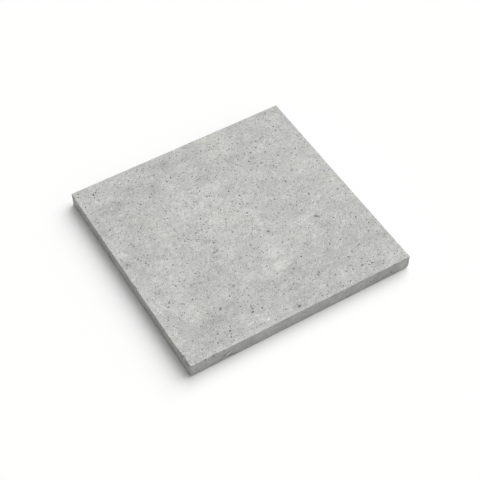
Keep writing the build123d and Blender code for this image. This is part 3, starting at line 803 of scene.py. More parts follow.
def ringPlan(marks, kind, firstNumber):
    # Plan points of the rings of one kind's marks: place, depth, darkness, which is partly painted
    # shade that deepens with the depth, lightness and the number of a crisp rim, or -1. A mark's
    # outline is bent out of true by two waves and by three waves round it.
    made = []
    number = firstNumber + np.arange(len(marks)) if kind["crisp"] else np.full(len(marks), -1)
    start = np.random.default_rng(firstNumber).uniform(0, 2 * math.pi, (2, len(marks), 1))
    turn = marks[:, 4:5]
    for share, points, deep, toned in kind["rings"]:
        angle = np.arange(points) / points * 2 * math.pi
        two = markShape["twoWaves"] * np.cos(2 * angle + start[0])
        three = markShape["threeWaves"] * np.cos(3 * angle + start[1])
        bent = share * (1 + two + three)
        p = marks[:, 2:3] * bent * np.cos(angle)
        q = marks[:, 3:4] * bent * np.sin(angle)
        x = marks[:, 0:1] + p * np.cos(turn) - q * np.sin(turn)
        y = marks[:, 1:2] + p * np.sin(turn) + q * np.cos(turn)
        rim = np.broadcast_to(number[:, None] if share == 1.0 else -1, x.shape)
        sunk, dark, light = (
            np.broadcast_to(marks[:, column:column + 1] * part, x.shape)
            for column, part in ((5, deep), (6, toned), (7, toned))
        )
        made.append(np.stack([x, y, sunk, dark, light, rim], -1).reshape(-1, 6))
    return np.vstack(made)


def markPlan(listed, plan, low, high, cracks=None):
    # every mark of one panel: the rows of its rings and cracks, and the ovals to keep clear of
    kinds = [(markKinds[kind], ovals(rows, kind)) for kind, rows in listed.items()]
    rows = []
    taken = [np.zeros((0, 8))] + [marks for kind, marks in kinds]
    for number, line in enumerate(cracks["lines"] if cracks else []):
        made, middle = furrow(line, cracks, cracks["seed"] + number)
        rows.append(made)
        half = cracks["width"] / 2
        taken.append(np.c_[middle, np.tile([half, half, 0, 0, 0, 0], (len(middle), 1))])
    pores = scatter(plan, low + plan["border"], high - plan["border"], np.vstack(taken))
    first = plan["firstMark"]
    for kind, marks in kinds + [(markKinds["speck"], pores)]:
        rows.append(ringPlan(marks, kind, first))
        first += len(marks)
    return np.vstack(rows), np.vstack(taken + [pores])


def lattice(low, high, step, seed, jitter=0.22, margin=0.45):
    # staggered rows of points, each moved a little by chance; jitter and the margin along the
    # border are shares of the step
    draw = np.random.default_rng(seed)
    rise = step * math.sqrt(0.75)
    rows = np.arange(low[1] + rise / 2, high[1], rise)
    across = np.arange(low[0] + step / 2, high[0], step)
    x = across[None, :] + np.where(np.arange(len(rows)) % 2, step / 2, 0)[:, None]
    y = np.broadcast_to(rows[:, None], x.shape)
    points = np.stack([x, y], -1).reshape(-1, 2) + draw.uniform(-jitter, jitter, (x.size, 2)) * step
    keep = ((points > low + step * margin) & (points < high - step * margin)).all(1)
    return points[keep]


def clearOf(points, marks, margin, atOnce=100):
    # the points that lie outside every mark, by a margin, for about that many marks at once
    kept = np.ones(len(points), bool)
    for part in np.array_split(np.arange(len(marks)), max(1, len(marks) // atOnce)):
        near = marks[part]
        x = points[:, None, 0] - near[None, :, 0]
        y = points[:, None, 1] - near[None, :, 1]
        p = x * np.cos(near[:, 4]) + y * np.sin(near[:, 4])
        q = y * np.cos(near[:, 4]) - x * np.sin(near[:, 4])
        long, wide = (markShape["room"] * near[:, column] + margin for column in (2, 3))
        kept &= ((p / long) ** 2 + (q / wide) ** 2 > 1).all(1)
    return points[kept]


def innerPlan(name, listed, low, high, cracks=None):
    # the inner points of one panel: the plain mesh between the marks, and the marks' rows
    plan = panels[name]
    low, high = np.array(low), np.array(high)
    rings, marks = markPlan(listed, plan, low, high, cracks)
    return clearOf(lattice(low, high, plan["step"], plan["meshSeed"]), marks, plan["room"]), rings


# How the edges' strips are made. The rows of points: the shares of a rim's width at which they
# lie, the angles of the rolled edge, and for the bevel how far in and up each row is, as shares
# of its leg, and how steeply it looks up. Then the lumps by which chance changes the rolled
# edge and the bevel: size and share.
edgeRows = {
    "face": (1.0, 0.66, 0.4, 0.17),
    "roll": (0, 22.5, 45, 67.5, 90),
    "sideTop": (0.14, 0.36, 0.64, 1.0),
    "sideFoot": (1.0, 0.55, 0.2),
    "bevel": ((0.0, 1.0, -15), (0.22, 0.6, -45), (0.6, 0.22, -45), (1.0, 0.0, -75)),
    "bed": (0.25, 0.6, 1.0),
    "seam": 7,   # divisions of the seam where the unrolled sides meet
    "lumps": ((23.0, 0.6), (6.0, 0.4)),
    "rollSeed": 31,
    "bevelSeed": 41,
}


def rollRadius(path, base, spread, seed):
    # how far the rolled edge or the bevel reaches at each place round the slab
    place = np.c_[outline(path, 0.0)[0], np.zeros(len(path))]
    rough = 0.0
    for number, (size, share) in enumerate(edgeRows["lumps"]):
        rough = rough + share * valueNoise(place, size, seed + number)
    return base * (1 + spread * rough)


def addRow(skin, path, inset, height, rise):
    # one row of points round the slab; rise is how steeply the surface there looks up
    plan, out = outline(path, inset)
    way = np.c_[out * math.cos(rise), np.full(len(path), math.sin(rise))]
    return skin.add(np.c_[plan, np.broadcast_to(height, len(path))], way)


def addUpperEdge(skin):
    # The rim of the wearing face, a quarter round, and the top of the side. This and the next
    # one return the strip's path, its row at the face or the bed, and its row at the side.
    path = edgePath(slabShape["edgeStep"])
    roll = rollRadius(path, slabShape["arris"], slabShape["arrisSpread"], edgeRows["rollSeed"])
    rows = []
    for share in edgeRows["face"]:
        inset = roll + share * (slabShape["faceRim"] - roll)
        rows.append(addRow(skin, path, inset, faceZ, math.pi / 2))
    for angle in np.radians(edgeRows["roll"]):
        inset = roll * (1 - math.sin(angle))
        height = faceZ - roll * (1 - math.cos(angle))
        rows.append(addRow(skin, path, inset, height, math.pi / 2 - angle))
    for share in edgeRows["sideTop"]:
        height = faceZ - roll - share * (slabShape["sideRimTop"] - roll)
        rows.append(addRow(skin, path, 0.0, height, 0.0))
    skin.strip(rows)
    return path, rows[0], rows[-1]


def addLowerEdge(skin):
    # the foot of the side, a bevel with eased corners, and the rim of the bed
    path = edgePath(slabShape["lowEdgeStep"])
    leg = rollRadius(path, slabShape["bevel"], slabShape["bevelSpread"], edgeRows["bevelSeed"])
    rows = []
    for share in edgeRows["sideFoot"]:
        height = leg + share * (slabShape["sideRimLow"] - leg)
        rows.append(addRow(skin, path, 0.0, height, 0.0))
    for across, up, rise in edgeRows["bevel"]:
        rows.append(addRow(skin, path, leg * across, leg * up, math.radians(rise)))
    for share in edgeRows["bed"]:
        inset = leg + share * (slabShape["bedRim"] - leg)
        rows.append(addRow(skin, path, inset, 0.0, -math.pi / 2))
    skin.strip(rows)
    return path, rows[-1], rows[0]


def addLevelPanel(skin, name, listed, path, ring, rim, height, up):
    # the wearing face or the bed, inside the ring of an edge; up is 1 or -1
    reach = halfSide - rim
    base, rings = innerPlan(name, listed, (-reach, -reach), (reach, reach))
    index = [ring]
    for points in (base, rings):
        place = np.c_[points[:, :2], np.full(len(points), height)]
        index.append(skin.add(place, (0, 0, up), *points[:, 2:].T))
    plan = [outline(path, rim)[0], base, rings[:, :2]]
    skin.panel(np.vstack(plan), np.concatenate(index), len(ring), flip=up < 0)


def addSides(skin, lowerPath, lowerRing, upperPath, upperRing):
    # All four sides, as one panel unrolled along the path. Its border runs along the lower
    # strip, up the seam, back along the upper strip and down the seam, whose points are the
    # same at both ends of the panel.
    low, high = (0.0, slabShape["sideRimLow"]), (wholePath, faceZ - slabShape["sideRimTop"])
    listed = {
        kind: [(pathOf(2, along), *rest) for along, *rest in rows]
        for kind, rows in lowSideMarks.items()
    }
    lines = [[(pathOf(2, along), height) for along, height in line] for line in lowSideCracks["lines"]]
    base, rings = innerPlan("side", listed, low, high, {**lowSideCracks, "lines": lines})
    seam = np.linspace(low[1], high[1], edgeRows["seam"] + 1)[1:-1]
    plain = np.vstack([np.c_[np.zeros(len(seam)), seam], base])
    inner = np.vstack([np.c_[plain, np.tile([0, 0, 0, -1], (len(plain), 1))], rings])
    flat, out = outline(inner[:, 0], 0.0)
    made = skin.add(np.c_[flat, inner[:, 1]], np.c_[out, np.zeros(len(out))], *inner[:, 2:].T)
    seamIndex = made[:len(seam)]
    plan = [
        np.c_[lowerPath, np.full(len(lowerPath), low[1])],
        [(wholePath, low[1])],
        np.c_[np.full(len(seam), wholePath), seam],
        [(wholePath, high[1])],
        np.c_[upperPath, np.full(len(upperPath), high[1])][::-1],
        np.c_[np.zeros(len(seam)), seam][::-1],
        inner[len(seam):, :2],
    ]
    index = [lowerRing, lowerRing[:1], seamIndex, upperRing[:1], upperRing[::-1], seamIndex[::-1]]
    border = sum(len(part) for part in index)
    skin.panel(np.vstack(plan), np.concatenate([*index, made[len(seam):]]), border)


def makeSlabSkin():
    skin = Skin()
    upperPath, faceRing, upperRing = addUpperEdge(skin)
    lowerPath, bedRing, lowerRing = addLowerEdge(skin)
    addLevelPanel(skin, "face", faceMarks, upperPath, faceRing, slabShape["faceRim"], faceZ, 1)
    addSides(skin, lowerPath, lowerRing, upperPath, upperRing)
    addLevelPanel(skin, "bed", {}, lowerPath, bedRing, slabShape["bedRim"], 0.0, -1)
    return skin


# Clouds in the concrete of the wearing face, as the photograph shows them: X, Y, half length,
# half width, the turn of the length from X in degrees, and how many percent lighter or darker,
# before cloudStrength multiplies them
clouds = [
    (-50, 110, 110, 50, 15, 3), (-20, 30, 90, 30, 0, 3), (240, 95, 45, 60, 0, 5),
    (30, -115, 28, 20, 0, 12), (15, -160, 42, 16, 8, 10), (135, -70, 28, 12, 0, 10),
    (-60, -65, 35, 15, 30, 7), (-220, -20, 32, 22, -30, 8), (-225, -170, 30, 30, 20, 6),
    (-280, -95, 15, 35, 0, 5), (-90, -268, 22, 18, 10, 8), (-130, -250, 12, 30, 0, 5),
    (130, -265, 15, 20, 0, 7), (268, -270, 26, 22, 0, 8), (-282, -225, 15, 20, 0, 5),
    (-80, 188, 11, 22, 0, 8), (-70, 145, 30, 12, 0, 6), (12, 138, 15, 12, 0, 9),
    (-110, 92, 25, 16, 0, 6), (-165, 65, 14, 30, 0, 6), (-285, 70, 14, 20, 0, 7),
    (-240, 238, 32, 8, 0, 8), (-210, 288, 32, 10, 0, 8), (95, 228, 34, 20, 0, 6),
    (85, 280, 36, 14, 0, 6), (190, 190, 32, 18, 20, 6), (130, 113, 20, 14, 20, 8),
    (235, 265, 40, 14, 0, 5), (282, -20, 14, 60, 0, 6), (172, -175, 18, 14, 0, 5),
    (232, -122, 18, 20, 0, 5), (50, 5, 10, 28, 0, 5), (-42, 45, 20, 18, 0, 6),
    (-190, -216, 42, 20, 8, -14), (-222, -258, 32, 22, 0, -8), (-180, -265, 9, 24, -15, -6),
    (-130, -202, 28, 7, -15, -8), (-60, 266, 32, 16, 0, -15), (-10, 256, 30, 9, 0, -7),
    (20, 235, 14, 35, 0, -6), (5, 174, 16, 12, 0, -10), (-118, 216, 20, 15, 40, -11),
    (-172, 236, 24, 14, 0, -10), (-222, 205, 28, 16, 10, -10), (-272, 200, 30, 24, 0, -6),
    (-240, 162, 38, 8, 5, -6), (-212, 113, 28, 14, 0, -5), (-250, 70, 10, 24, 10, -6),
    (-285, 28, 14, 10, 0, -11), (-240, 20, 24, 13, 0, -9), (-272, -15, 22, 22, 0, -6),
    (-150, -116, 48, 20, 5, -8), (-110, -88, 13, 9, 0, -7), (-120, 25, 20, 14, 0, -5),
    (-80, -14, 18, 9, -35, -8), (-264, -84, 8, 14, 20, -7), (100, 194, 34, 13, 0, -7),
    (140, 165, 12, 11, 0, -6), (112, 84, 13, 17, 0, -7), (34, 110, 20, 11, 0, -5),
    (185, -112, 24, 14, 0, -7), (58, -58, 10, 12, 0, -6), (-8, -85, 10, 16, 0, -7),
    (46, -190, 28, 12, 0, -9), (-42, -195, 25, 13, 0, -7), (16, -228, 24, 11, 0, -9),
    (90, -224, 18, 9, 30, -7), (-6, -284, 14, 12, 0, -8), (36, -260, 15, 9, 0, -6),
    (152, -200, 28, 18, 0, -5), (282, -205, 18, 10, 0, -7), (152, -25, 30, 18, 0, -4),
    (100, 20, 14, 14, 0, -4), (197, 255, 13, 28, 0, -4), (150, 236, 18, 9, 0, -5),
    (56, 41, 14, 5, 0, -7), (-100, -236, 11, 10, 0, -8), (-292, 168, 9, 26, 0, -7),
    (-250, -55, 22, 16, 0, 9), (-70, -84, 13, 15, 0, 9), (-15, -95, 10, 10, 0, 7),
    (75, -100, 26, 9, 0, 5), (82, -132, 24, 12, 0, 4), (145, -118, 9, 20, 0, 5),
    (184, -46, 11, 10, 0, 9), (202, -97, 12, 11, 0, 7), (-228, -206, 13, 20, 20, 6),
    (-5, -217, 16, 8, 0, 7), (206, 112, 10, 18, 10, 8), (226, 90, 18, 9, -30, 6),
    (102, 30, 13, 14, 0, 6), (20, 76, 32, 8, -12, 5), (-22, 112, 18, 9, -35, 5),
    (-110, 105, 9, 22, -35, 5), (-10, 20, 40, 11, 0, 5), (236, 245, 17, 18, 0, 5),
    (284, 185, 9, 22, 0, 8), (282, 262, 9, 22, 0, 6), (60, -35, 45, 16, 5, 4),
    (-130, 212, 11, 9, 0, 6), (232, -24, 15, 12, 0, 5), (-165, -30, 13, 11, 0, 5),
    (240, 140, 24, 9, 5, -8), (-238, 154, 28, 8, 5, -6), (-265, 228, 16, 11, 0, -7),
    (-114, 190, 15, 14, 0, -6), (-86, 252, 9, 9, 0, -6), (-48, 224, 15, 18, 0, -6),
    (-42, 165, 14, 8, 0, -6), (46, 158, 28, 8, 0, -6), (90, 188, 15, 10, 0, -6),
    (188, 213, 18, 7, 12, -8), (70, 248, 14, 7, 0, -6), (176, 110, 7, 14, 0, -6),
    (-195, 86, 7, 20, 0, -5), (-190, 5, 15, 18, 0, -5), (-80, 50, 14, 11, 0, -5),
    (154, 50, 13, 13, 0, -6), (150, 10, 24, 9, 10, -5), (-60, -35, 9, 18, 30, -6),
    (2, -130, 8, 12, 0, -6), (-70, -118, 17, 8, -10, -7), (150, -168, 11, 15, 0, -7),
    (190, -130, 26, 10, 5, -5), (46, -245, 9, 16, 0, -7), (-35, -270, 24, 7, 0, -6),
    (90, -282, 22, 12, 0, -9), (-280, -286, 14, 12, 0, -9), (120, -222, 18, 9, 0, -5),
    (280, -36, 9, 14, 0, -7), (-175, -172, 9, 24, 30, -5), (-85, -170, 12, 8, 0, -6),
    (-2, -8, 5, 5, 0, -8), (-86, -278, 15, 5, 6, 7), (40, -40, 200, 105, 0, 1), (285, 30, 40, 200, 0, 1),
    (-250, 240, 90, 60, 0, -1),
    (132, -79, 13, 12, 0, 12), (26, -172, 10, 9, 30, 11), (-113, 15, 13, 8, -25, 9),
    (-184, -259, 10, 8, 20, 9), (262, -40, 11, 8, -15, 8), (202, 20, 9, 8, 0, 8),
    (82, 68, 20, 11, 10, 6), (180, -274, 10, 9, 20, 8), (-156, -92, 10, 8, 20, 8),
    (-215, 229, 18, 9, 20, 7), (-73, 268, 12, 8, -10, 8), (228, 265, 10, 8, 0, 8),
    (62, -132, 9, 8, 0, 6), (-258, -46, 12, 8, 10, 6), (187, -248, 9, 10, 0, 7),
    (285, -182, 7, 14, 0, 6), (217, 198, 14, 9, 0, 5), (109, 168, 7, 13, -10, 6),
    (260, 60, 9, 8, 0, 6), (-101, 116, 10, 12, 20, 5), (-258, 126, 14, 7, 0, 6),
    (-168, -147, 14, 6, -15, 7), (-33, -157, 12, 10, 20, 5), (10, -60, 24, 12, 0, 4),
    (185, -52, 9, 14, 0, 5), (225, -192, 14, 8, 0, 5), (-205, 120, 8, 12, 0, 5),
    (120, 236, 16, 7, -30, 5), (-85, 30, 9, 16, 0, 5), (-240, -75, 9, 16, 0, 5),
    (-130, -275, 14, 9, 20, 5), (-240, 262, 16, 8, 0, 5), (-230, 168, 9, 6, 0, 5),
    (285, 245, 6, 9, 0, 7), (112, -42, 9, 8, 0, 6), (57, -167, 9, 8, 0, 5),
    (-143, 223, 10, 8, 0, -11), (-194, -126, 10, 8, 0, -10), (222, -75, 11, 8, 0, -11),
    (-193, 243, 12, 7, -20, -9), (-226, 186, 12, 7, 10, -8), (0, -12, 7, 9, 0, -10),
    (50, -209, 9, 8, 0, -9), (-268, -72, 8, 10, 0, -9), (83, 20, 6, 13, -10, -8),
    (7, 30, 10, 6, 30, -8), (-25, 68, 8, 9, 20, -9), (-8, -239, 12, 7, 0, -8),
    (-28, -212, 14, 7, 10, -7), (-101, 210, 7, 18, 10, -7), (-278, 76, 8, 12, 30, -8),
    (142, -45, 16, 7, -15, -7), (162, -167, 8, 10, 0, -7), (185, -194, 14, 13, 0, -6),
    (112, -237, 9, 8, 0, -7), (104, -270, 6, 12, 0, -7), (155, -282, 7, 7, 0, -7),
    (25, -283, 9, 7, 0, -7), (-210, -283, 10, 7, 0, -8), (-243, -285, 9, 6, 0, -7),
    (-258, -207, 10, 12, -20, -7), (-233, -168, 14, 7, 30, -7), (-128, 173, 11, 8, 20, -7),
    (-280, 140, 9, 10, 30, -7), (44, 124, 22, 6, 20, -7), (145, 98, 6, 10, 0, -7),
    (250, 152, 8, 8, 0, -7), (249, 231, 9, 7, 0, -7), (179, 138, 8, 8, 0, -7),
    (267, 173, 9, 8, 0, -6), (-170, 63, 12, 7, 0, -7), (220, -122, 11, 7, 0, -6),
    (155, -138, 18, 6, 30, -6), (104, -182, 9, 10, 0, -7), (-133, -234, 7, 8, 0, -6),
    (272, -25, 8, 8, 0, -6), (0, 165, 12, 7, 20, -7), (32, 175, 9, 8, 30, -5),
    (114, 58, 6, 12, -30, -6), (-103, -127, 8, 14, 0, -6), (4, -128, 9, 8, 20, -6),
    (207, -12, 9, 9, 0, -5), (-28, -80, 9, 8, 0, -6), (89, -77, 11, 9, 0, -6),
    (12, -104, 8, 7, 0, -6), (-256, -25, 10, 9, 0, -6), (-193, -40, 9, 7, 0, -6),
    (25, -177, 8, 6, 30, 7), (130, -84, 10, 10, 0, 5), (-14, -92, 8, 8, 0, 7),
    (-13, -222, 10, 6, -20, 7), (-113, -174, 10, 9, 0, 7), (-215, -222, 9, 10, -20, 7),
    (-241, 238, 7, 8, 0, 7), (-215, -110, 10, 10, 0, 5), (207, -257, 8, 7, 0, 8),
    (177, -224, 7, 7, 0, 7), (285, -237, 6, 8, 0, 8), (282, -130, 8, 9, 0, 7),
    (227, -137, 10, 8, 30, 5), (78, -108, 16, 10, 0, 4), (138, -126, 8, 14, 0, 5),
    (98, 22, 7, 9, -30, 7), (38, 16, 7, 12, 0, 6), (15, 18, 6, 9, 0, 6),
    (-16, 20, 8, 10, 30, 6), (-17, -8, 10, 5, 30, 6), (-40, -26, 6, 9, -20, 6),
    (142, 24, 12, 8, 20, 5), (-180, 43, 10, 9, 0, 6), (-257, 78, 9, 7, 0, 6),
    (-221, 167, 9, 6, 0, 7), (-38, 190, 8, 10, 0, 6), (115, 184, 5, 14, 0, 6),
    (80, 118, 16, 7, 15, 5), (-84, 138, 9, 10, -40, 5), (-175, 280, 10, 8, 0, 6),
    (184, 284, 12, 7, 0, 8), (24, 204, 12, 7, 0, -7), (97, 180, 8, 7, 20, -7),
    (-96, 164, 9, 9, 20, -6), (-42, 157, 12, 5, -20, -6), (-163, 132, 14, 7, -20, -7),
    (-224, 152, 12, 5, -10, -6), (-205, 83, 5, 14, 0, -6), (-265, 46, 10, 7, -20, -7),
    (-194, 35, 7, 11, 20, -7), (-83, 108, 9, 6, 0, -6), (42, 90, 24, 6, -20, -6),
    (53, 40, 10, 6, 0, -7), (269, 49, 11, 8, 10, -7), (270, 122, 10, 12, -30, -7),
    (222, 140, 9, 7, 20, -7), (167, 111, 6, 10, -20, -6), (-88, 68, 9, 7, 0, -7),
    (96, 2, 16, 7, 0, -6), (125, -9, 14, 6, -20, -6), (29, -7, 6, 9, 0, -6),
    (11, -24, 9, 6, -30, -6), (56, -12, 5, 9, 0, -6), (-42, -42, 8, 9, 30, -6),
    (147, -58, 12, 8, -20, -8), (92, -41, 6, 8, 0, -6), (112, -71, 6, 7, 0, -6),
    (243, -107, 9, 9, 0, -7), (282, -90, 10, 6, 20, -8), (-186, -93, 14, 6, 30, -7),
    (-156, -48, 12, 8, 0, -7), (-260, -155, 9, 8, 0, -7), (-158, -144, 14, 6, -20, -6),
    (6, -195, 16, 8, 20, -8), (-42, -172, 8, 8, -30, -6), (-238, -223, 10, 9, 20, -7),
    (-134, -205, 8, 9, 20, -7), (130, -217, 8, 7, 0, -6), (177, -259, 9, 7, 20, -9),
    (191, -165, 9, 8, 20, -6), (-156, -283, 14, 6, 0, -7), (-153, 212, 12, 8, 0, -6),
    (-99, 262, 8, 8, 0, -7), (-46, 243, 8, 8, 0, -6), (-212, 246, 9, 6, 0, -7),
    (36, 281, 6, 9, 0, -7), (136, 275, 10, 8, -30, -6), (176, 209, 12, 5, 20, -6),
]

# Clouds of the two sides that the photograph shows: along Y or X and up from the bed, then
# as above, with the percent as it stands
sideClouds = {
    "lowX": [
        (280, 28, 15, 8, -50, 26), (288, 15, 6, 8, 0, 8), (240, 33, 9, 6, 0, -9), (94, 15, 7, 9, 0, -24),
        (86, 9, 8, 6, 0, -18), (-105, 9, 12, 8, 0, -16), (-142, 9, 8, 7, 0, -9), (220, 12, 12, 7, 0, -8),
        (255, 9, 12, 7, 0, -12), (163, 16, 9, 7, 0, -11), (-263, 32, 6, 9, 0, -20), (-277, 13, 7, 8, 0, -15),
        (-45, 9, 14, 7, 0, -6), (10, 10, 16, 8, 0, -5), (37, 8, 8, 6, 0, -8), (60, 30, 10, 8, 0, 5),
        (105, 30, 9, 8, 0, 5), (170, 32, 12, 8, 0, 4), (-271, 38, 3, 4, 0, 30), (-230, 28, 14, 9, 0, 4),
    ],
    "lowY": [
        (241, 15, 6, 5, 0, -9), (278, 16, 14, 15, 0, 17), (297, 20, 2.5, 17, 0, -22),
        (230, 27, 12, 8, 0, 5), (283, 37, 6, 3, 0, -9),
        (-141, 14, 7, 7, 0, -8), (-105, 29, 45, 9, 0, 5), (-165, 25, 14, 10, 0, 5), (-203, 15, 6, 4, 40, 8),
        (-186, 15, 7, 6, 0, -5), (-56, 37, 14, 4, 0, -7), (-48, 36, 5, 4, 0, -8), (86, 36, 9, 4, 0, -9),
        (117, 21, 5, 5, 0, -8), (106, 20, 9, 9, 0, 5), (25, 29, 12, 7, 0, 5), (135, 36, 8, 4, 0, -7),
        (-115, 35, 14, 4, 0, -6), (-198, 36, 9, 4, 0, -8), (158, 37, 12, 4, 0, -7), (-258, 17, 4, 5, 0, -6),
        (255, 6, 12, 4, 0, -8), (-20, 24, 30, 9, 0, 3), (110, 5, 10, 4, 0, -7), (66, 5, 12, 4, 0, -7),
    ],
}


def softOvals(place, listed):
    # A sum of soft ovals: each adds its share times e to the power of minus the square of the
    # distance from its middle, counted in its half sizes.
    total = np.zeros(len(place))
    for x, y, long, wide, turn, percent in listed:
        angle = math.radians(turn)
        p = (place[:, 0] - x) * math.cos(angle) + (place[:, 1] - y) * math.sin(angle)
        q = (place[:, 1] - y) * math.cos(angle) - (place[:, 0] - x) * math.sin(angle)
        total += percent / 100 * np.exp(-((p / long) ** 2) - (q / wide) ** 2)
    return total


# How the clouds lie on the slab, and the unevenness of all its faces
surface = {
    "cloudStrength": 1.45,
    "cloudTear": [(30, 5.0), (11, 3.0)],   # lump size, and how far such lumps shift the clouds
    "tearSeeds": (80, 120),   # along X and along Y
    "cloudDepth": 15.0,   # below the wearing face its clouds fade out over that much
    "edgeHighlight": 0.035,   # a painted highlight along the low Y edge of the wearing face, which falls off as a cloud does over that width and stops at that depth
    "edgeWidth": 4.5,   # off as a cloud does over that width and stops at that depth
    "edgeDepth": 1.5,
    "sideBand": 1.0,   # a point that close to a side belongs to it
    "uneven": [(70, 0.10), (22, 0.06), (9, 0.04)],   # lump size, and how far such lumps sink
    "unevenSeed": 60,
}


def cloudAndHighlightTone(points):
    # How much lighter or darker the clouds, and a painted highlight along the low Y edge of the
    # wearing face, make each point. The face's clouds are read at a shifted place, which tears their edges.
    plan = surface
    flat = np.c_[points[:, :2], np.zeros(len(points))]
    place = points[:, :2].copy()
    for size, shift in plan["cloudTear"]:
        for axis, seed in enumerate(plan["tearSeeds"]):
            place[:, axis] += shift * valueNoise(flat, size, seed + size)
    below = np.clip(1 - (faceZ - points[:, 2]) / plan["cloudDepth"], 0, 1)
    total = plan["cloudStrength"] * softOvals(place, clouds) * below
    # painted highlight along the low Y edge of the wearing face
    rim = np.exp(-(((points[:, 1] + halfSide) / plan["edgeWidth"]) ** 2))
    total += np.where(points[:, 2] > faceZ - plan["edgeDepth"], plan["edgeHighlight"] * rim, 0)
    for axis, name in enumerate(sideClouds):
        near = points[:, axis] < -halfSide + plan["sideBand"]
        total += np.where(near, softOvals(points[:, [1 - axis, 2]], sideClouds[name]), 0)
    return total


def makeSlab():
    skin = makeSlabSkin()
    place, way = skin.column("place"), skin.column("way")
    dip = 0.0
    for size, most in surface["uneven"]:
        dip = dip + most * (1 + valueNoise(place, size, surface["unevenSeed"] + size)) / 2
    points = place - way * (skin.column("sunk") + dip)[:, None]
    points, broken, chipDarkAndShade = knockOff(points)
    mesh = bpy.data.meshes.new("pavingSlab")
    mesh.from_pydata((points * mm).tolist(), [], skin.faces)
    mesh.shade_smooth()

    pairs = np.zeros(len(mesh.edges) * 2, np.int32)
    mesh.edges.foreach_get("vertices", pairs)
    rims = skin.column("rim")[pairs.reshape(-1, 2)]
    crisp = (rims[:, 0] == rims[:, 1]) & (rims[:, 0] >= 0)
    mesh.attributes.new("sharp_edge", "BOOLEAN", "EDGE").data.foreach_set("value", crisp)
    tones = {
        # marks, cracks and chips darker, partly their own colour and partly painted shade in their hollows
        "dark": np.maximum(skin.column("dark"), chipDarkAndShade),
        "light": skin.column("light"),
        "broken": broken,
        # clouds, and the painted highlight along the low Y edge of the wearing face
        "cloudAndHighlight": cloudAndHighlightTone(place),
    }
    for name, values in tones.items():
        mesh.attributes.new(name, "FLOAT", "POINT").data.foreach_set("value", values.astype(np.float32))
    made = bpy.data.objects.new("pavingSlab", mesh)
    bpy.context.scene.collection.objects.link(made)
    triangles = sum(len(face) - 2 for face in skin.faces)
    print("slab skin made:", len(points), "points,", triangles, "triangles")
    return made


# Finish. Sizes are in millimetres; a strength is how much of the tone a lump can change.
finish = {
    "warm": (0.5235, 0.5220, 0.5070),   # the two greys that the colour drifts between
    "cool": (0.5205, 0.5220, 0.5110),
    "drift": 55,   # lump size
    "driftSoft": 0.2,   # how far from 0 the noise is when one grey is left alone
    "drawnOut": 1.2,   # the lumps of the mottling are longer by this much,
    "drawnWay": 9,   # along this way from X in degrees
    # lump size, strength, and how torn the lumps of the mottling are
    "mottle": [(120, 0.05, 0.4), (52, 0.09, 0.8), (26, 0.18, 0.9), (13, 0.27, 0.7), (6.5, 0.25, 0.4)],
    "grain": [(3.3, 0.36), (1.7, 0.45), (0.85, 0.45)],
    # dark specks: their spacing, most radius, how drawn out and which way, and how dark
    "specks": [
        {"apart": 4.2, "radius": 1.40, "long": 1.3, "turn": 20, "dark": 0.75},
        {"apart": 4.6, "radius": 1.15, "long": 2.4, "turn": 40, "dark": 0.75},
        {"apart": 4.6, "radius": 1.15, "long": 2.4, "turn": 98, "dark": 0.75},
    ],
    "speckLeast": 0.001,   # the least radius, as a share of the spacing
    "speckCore": 0.4,   # the share of the radius that is fully dark
    "speckDepth": 0.5,
    # how dark marks, cracks and chips are: partly their own colour and partly painted shade in their hollows
    "markDarkAndShade": 0.80,
    "fleckLight": 0.42,
    "rimHighlight": 0.04,   # a painted highlight on the wearing face close to its edges
    "rimWidth": 3.0,
    "rimEnd": 1.2,   # that highlight is whole that close to the outline,
    "topEdge": (1.2, 0.4),   # and comes in between these depths under the wearing face
    "sideEdge": (1.3, 0.5),   # the sides' finish comes in between these distances from the outline
    # fresh breaks darker, partly their own colour and partly painted shade in the chips
    "brokenDarkAndShade": 0.16,
    "brokenGrain": 0.9,
    "brokenLumps": 1.9,
    "sideSmooth": 0.55,   # how much of the grain and the specks the sides lack
    # lumps of the sides: size along and upwards, and strength
    "sideLumps": [(8, 45, 0.04), (22, 50, 0.085), (60, 80, 0.09)],
    "footShade": 0.08,   # painted shade at the foot of the sides, up to that height
    "footHeight": 24.0,
    "roughness": 0.90,
    "roughSpread": 0.14,
    "roughLumps": 9.0,
    "relief": [(3.3, 0.10), (1.3, 0.12)],   # lump size and height
    # where each noise is read, and how much further off its next layer is, so that none repeats
    "shift": {
        "mottle": (11.3, 7.7), "grain": (3.1, 5.9), "sideLumps": (17.9, 5.3), "relief": (51.1, 3.7),
        "broken": 31.7, "drift": 41.9, "roughness": 61.3,
    },
}


def layers(plan, name):
    # the rows of a list of noise layers, each with the shift at which its noise is read
    first, apart = plan["shift"][name]
    return [(first + apart * number, *row) for number, row in enumerate(plan[name])]


def speckMask(graph, spot, plan, layer):
    # 1 in a speck and 0 outside: the place within a cell's chance radius of its middle
    share = 1 / layer["apart"]
    place = graph.stretch(graph.turned(spot, layer["turn"]), (share / layer["long"], share, share))
    cells = graph.node("TexVoronoi", None, Vector=place, Scale=1.0)
    luck = graph.wire("SeparateColor", 0, None, Wire(graph, cells.outputs["Color"]))
    radius = luck**2 * (layer["radius"] * share) + plan["speckLeast"]
    return 1 - graph.ease(Wire(graph, cells.outputs["Distance"]), radius * plan["speckCore"], radius)


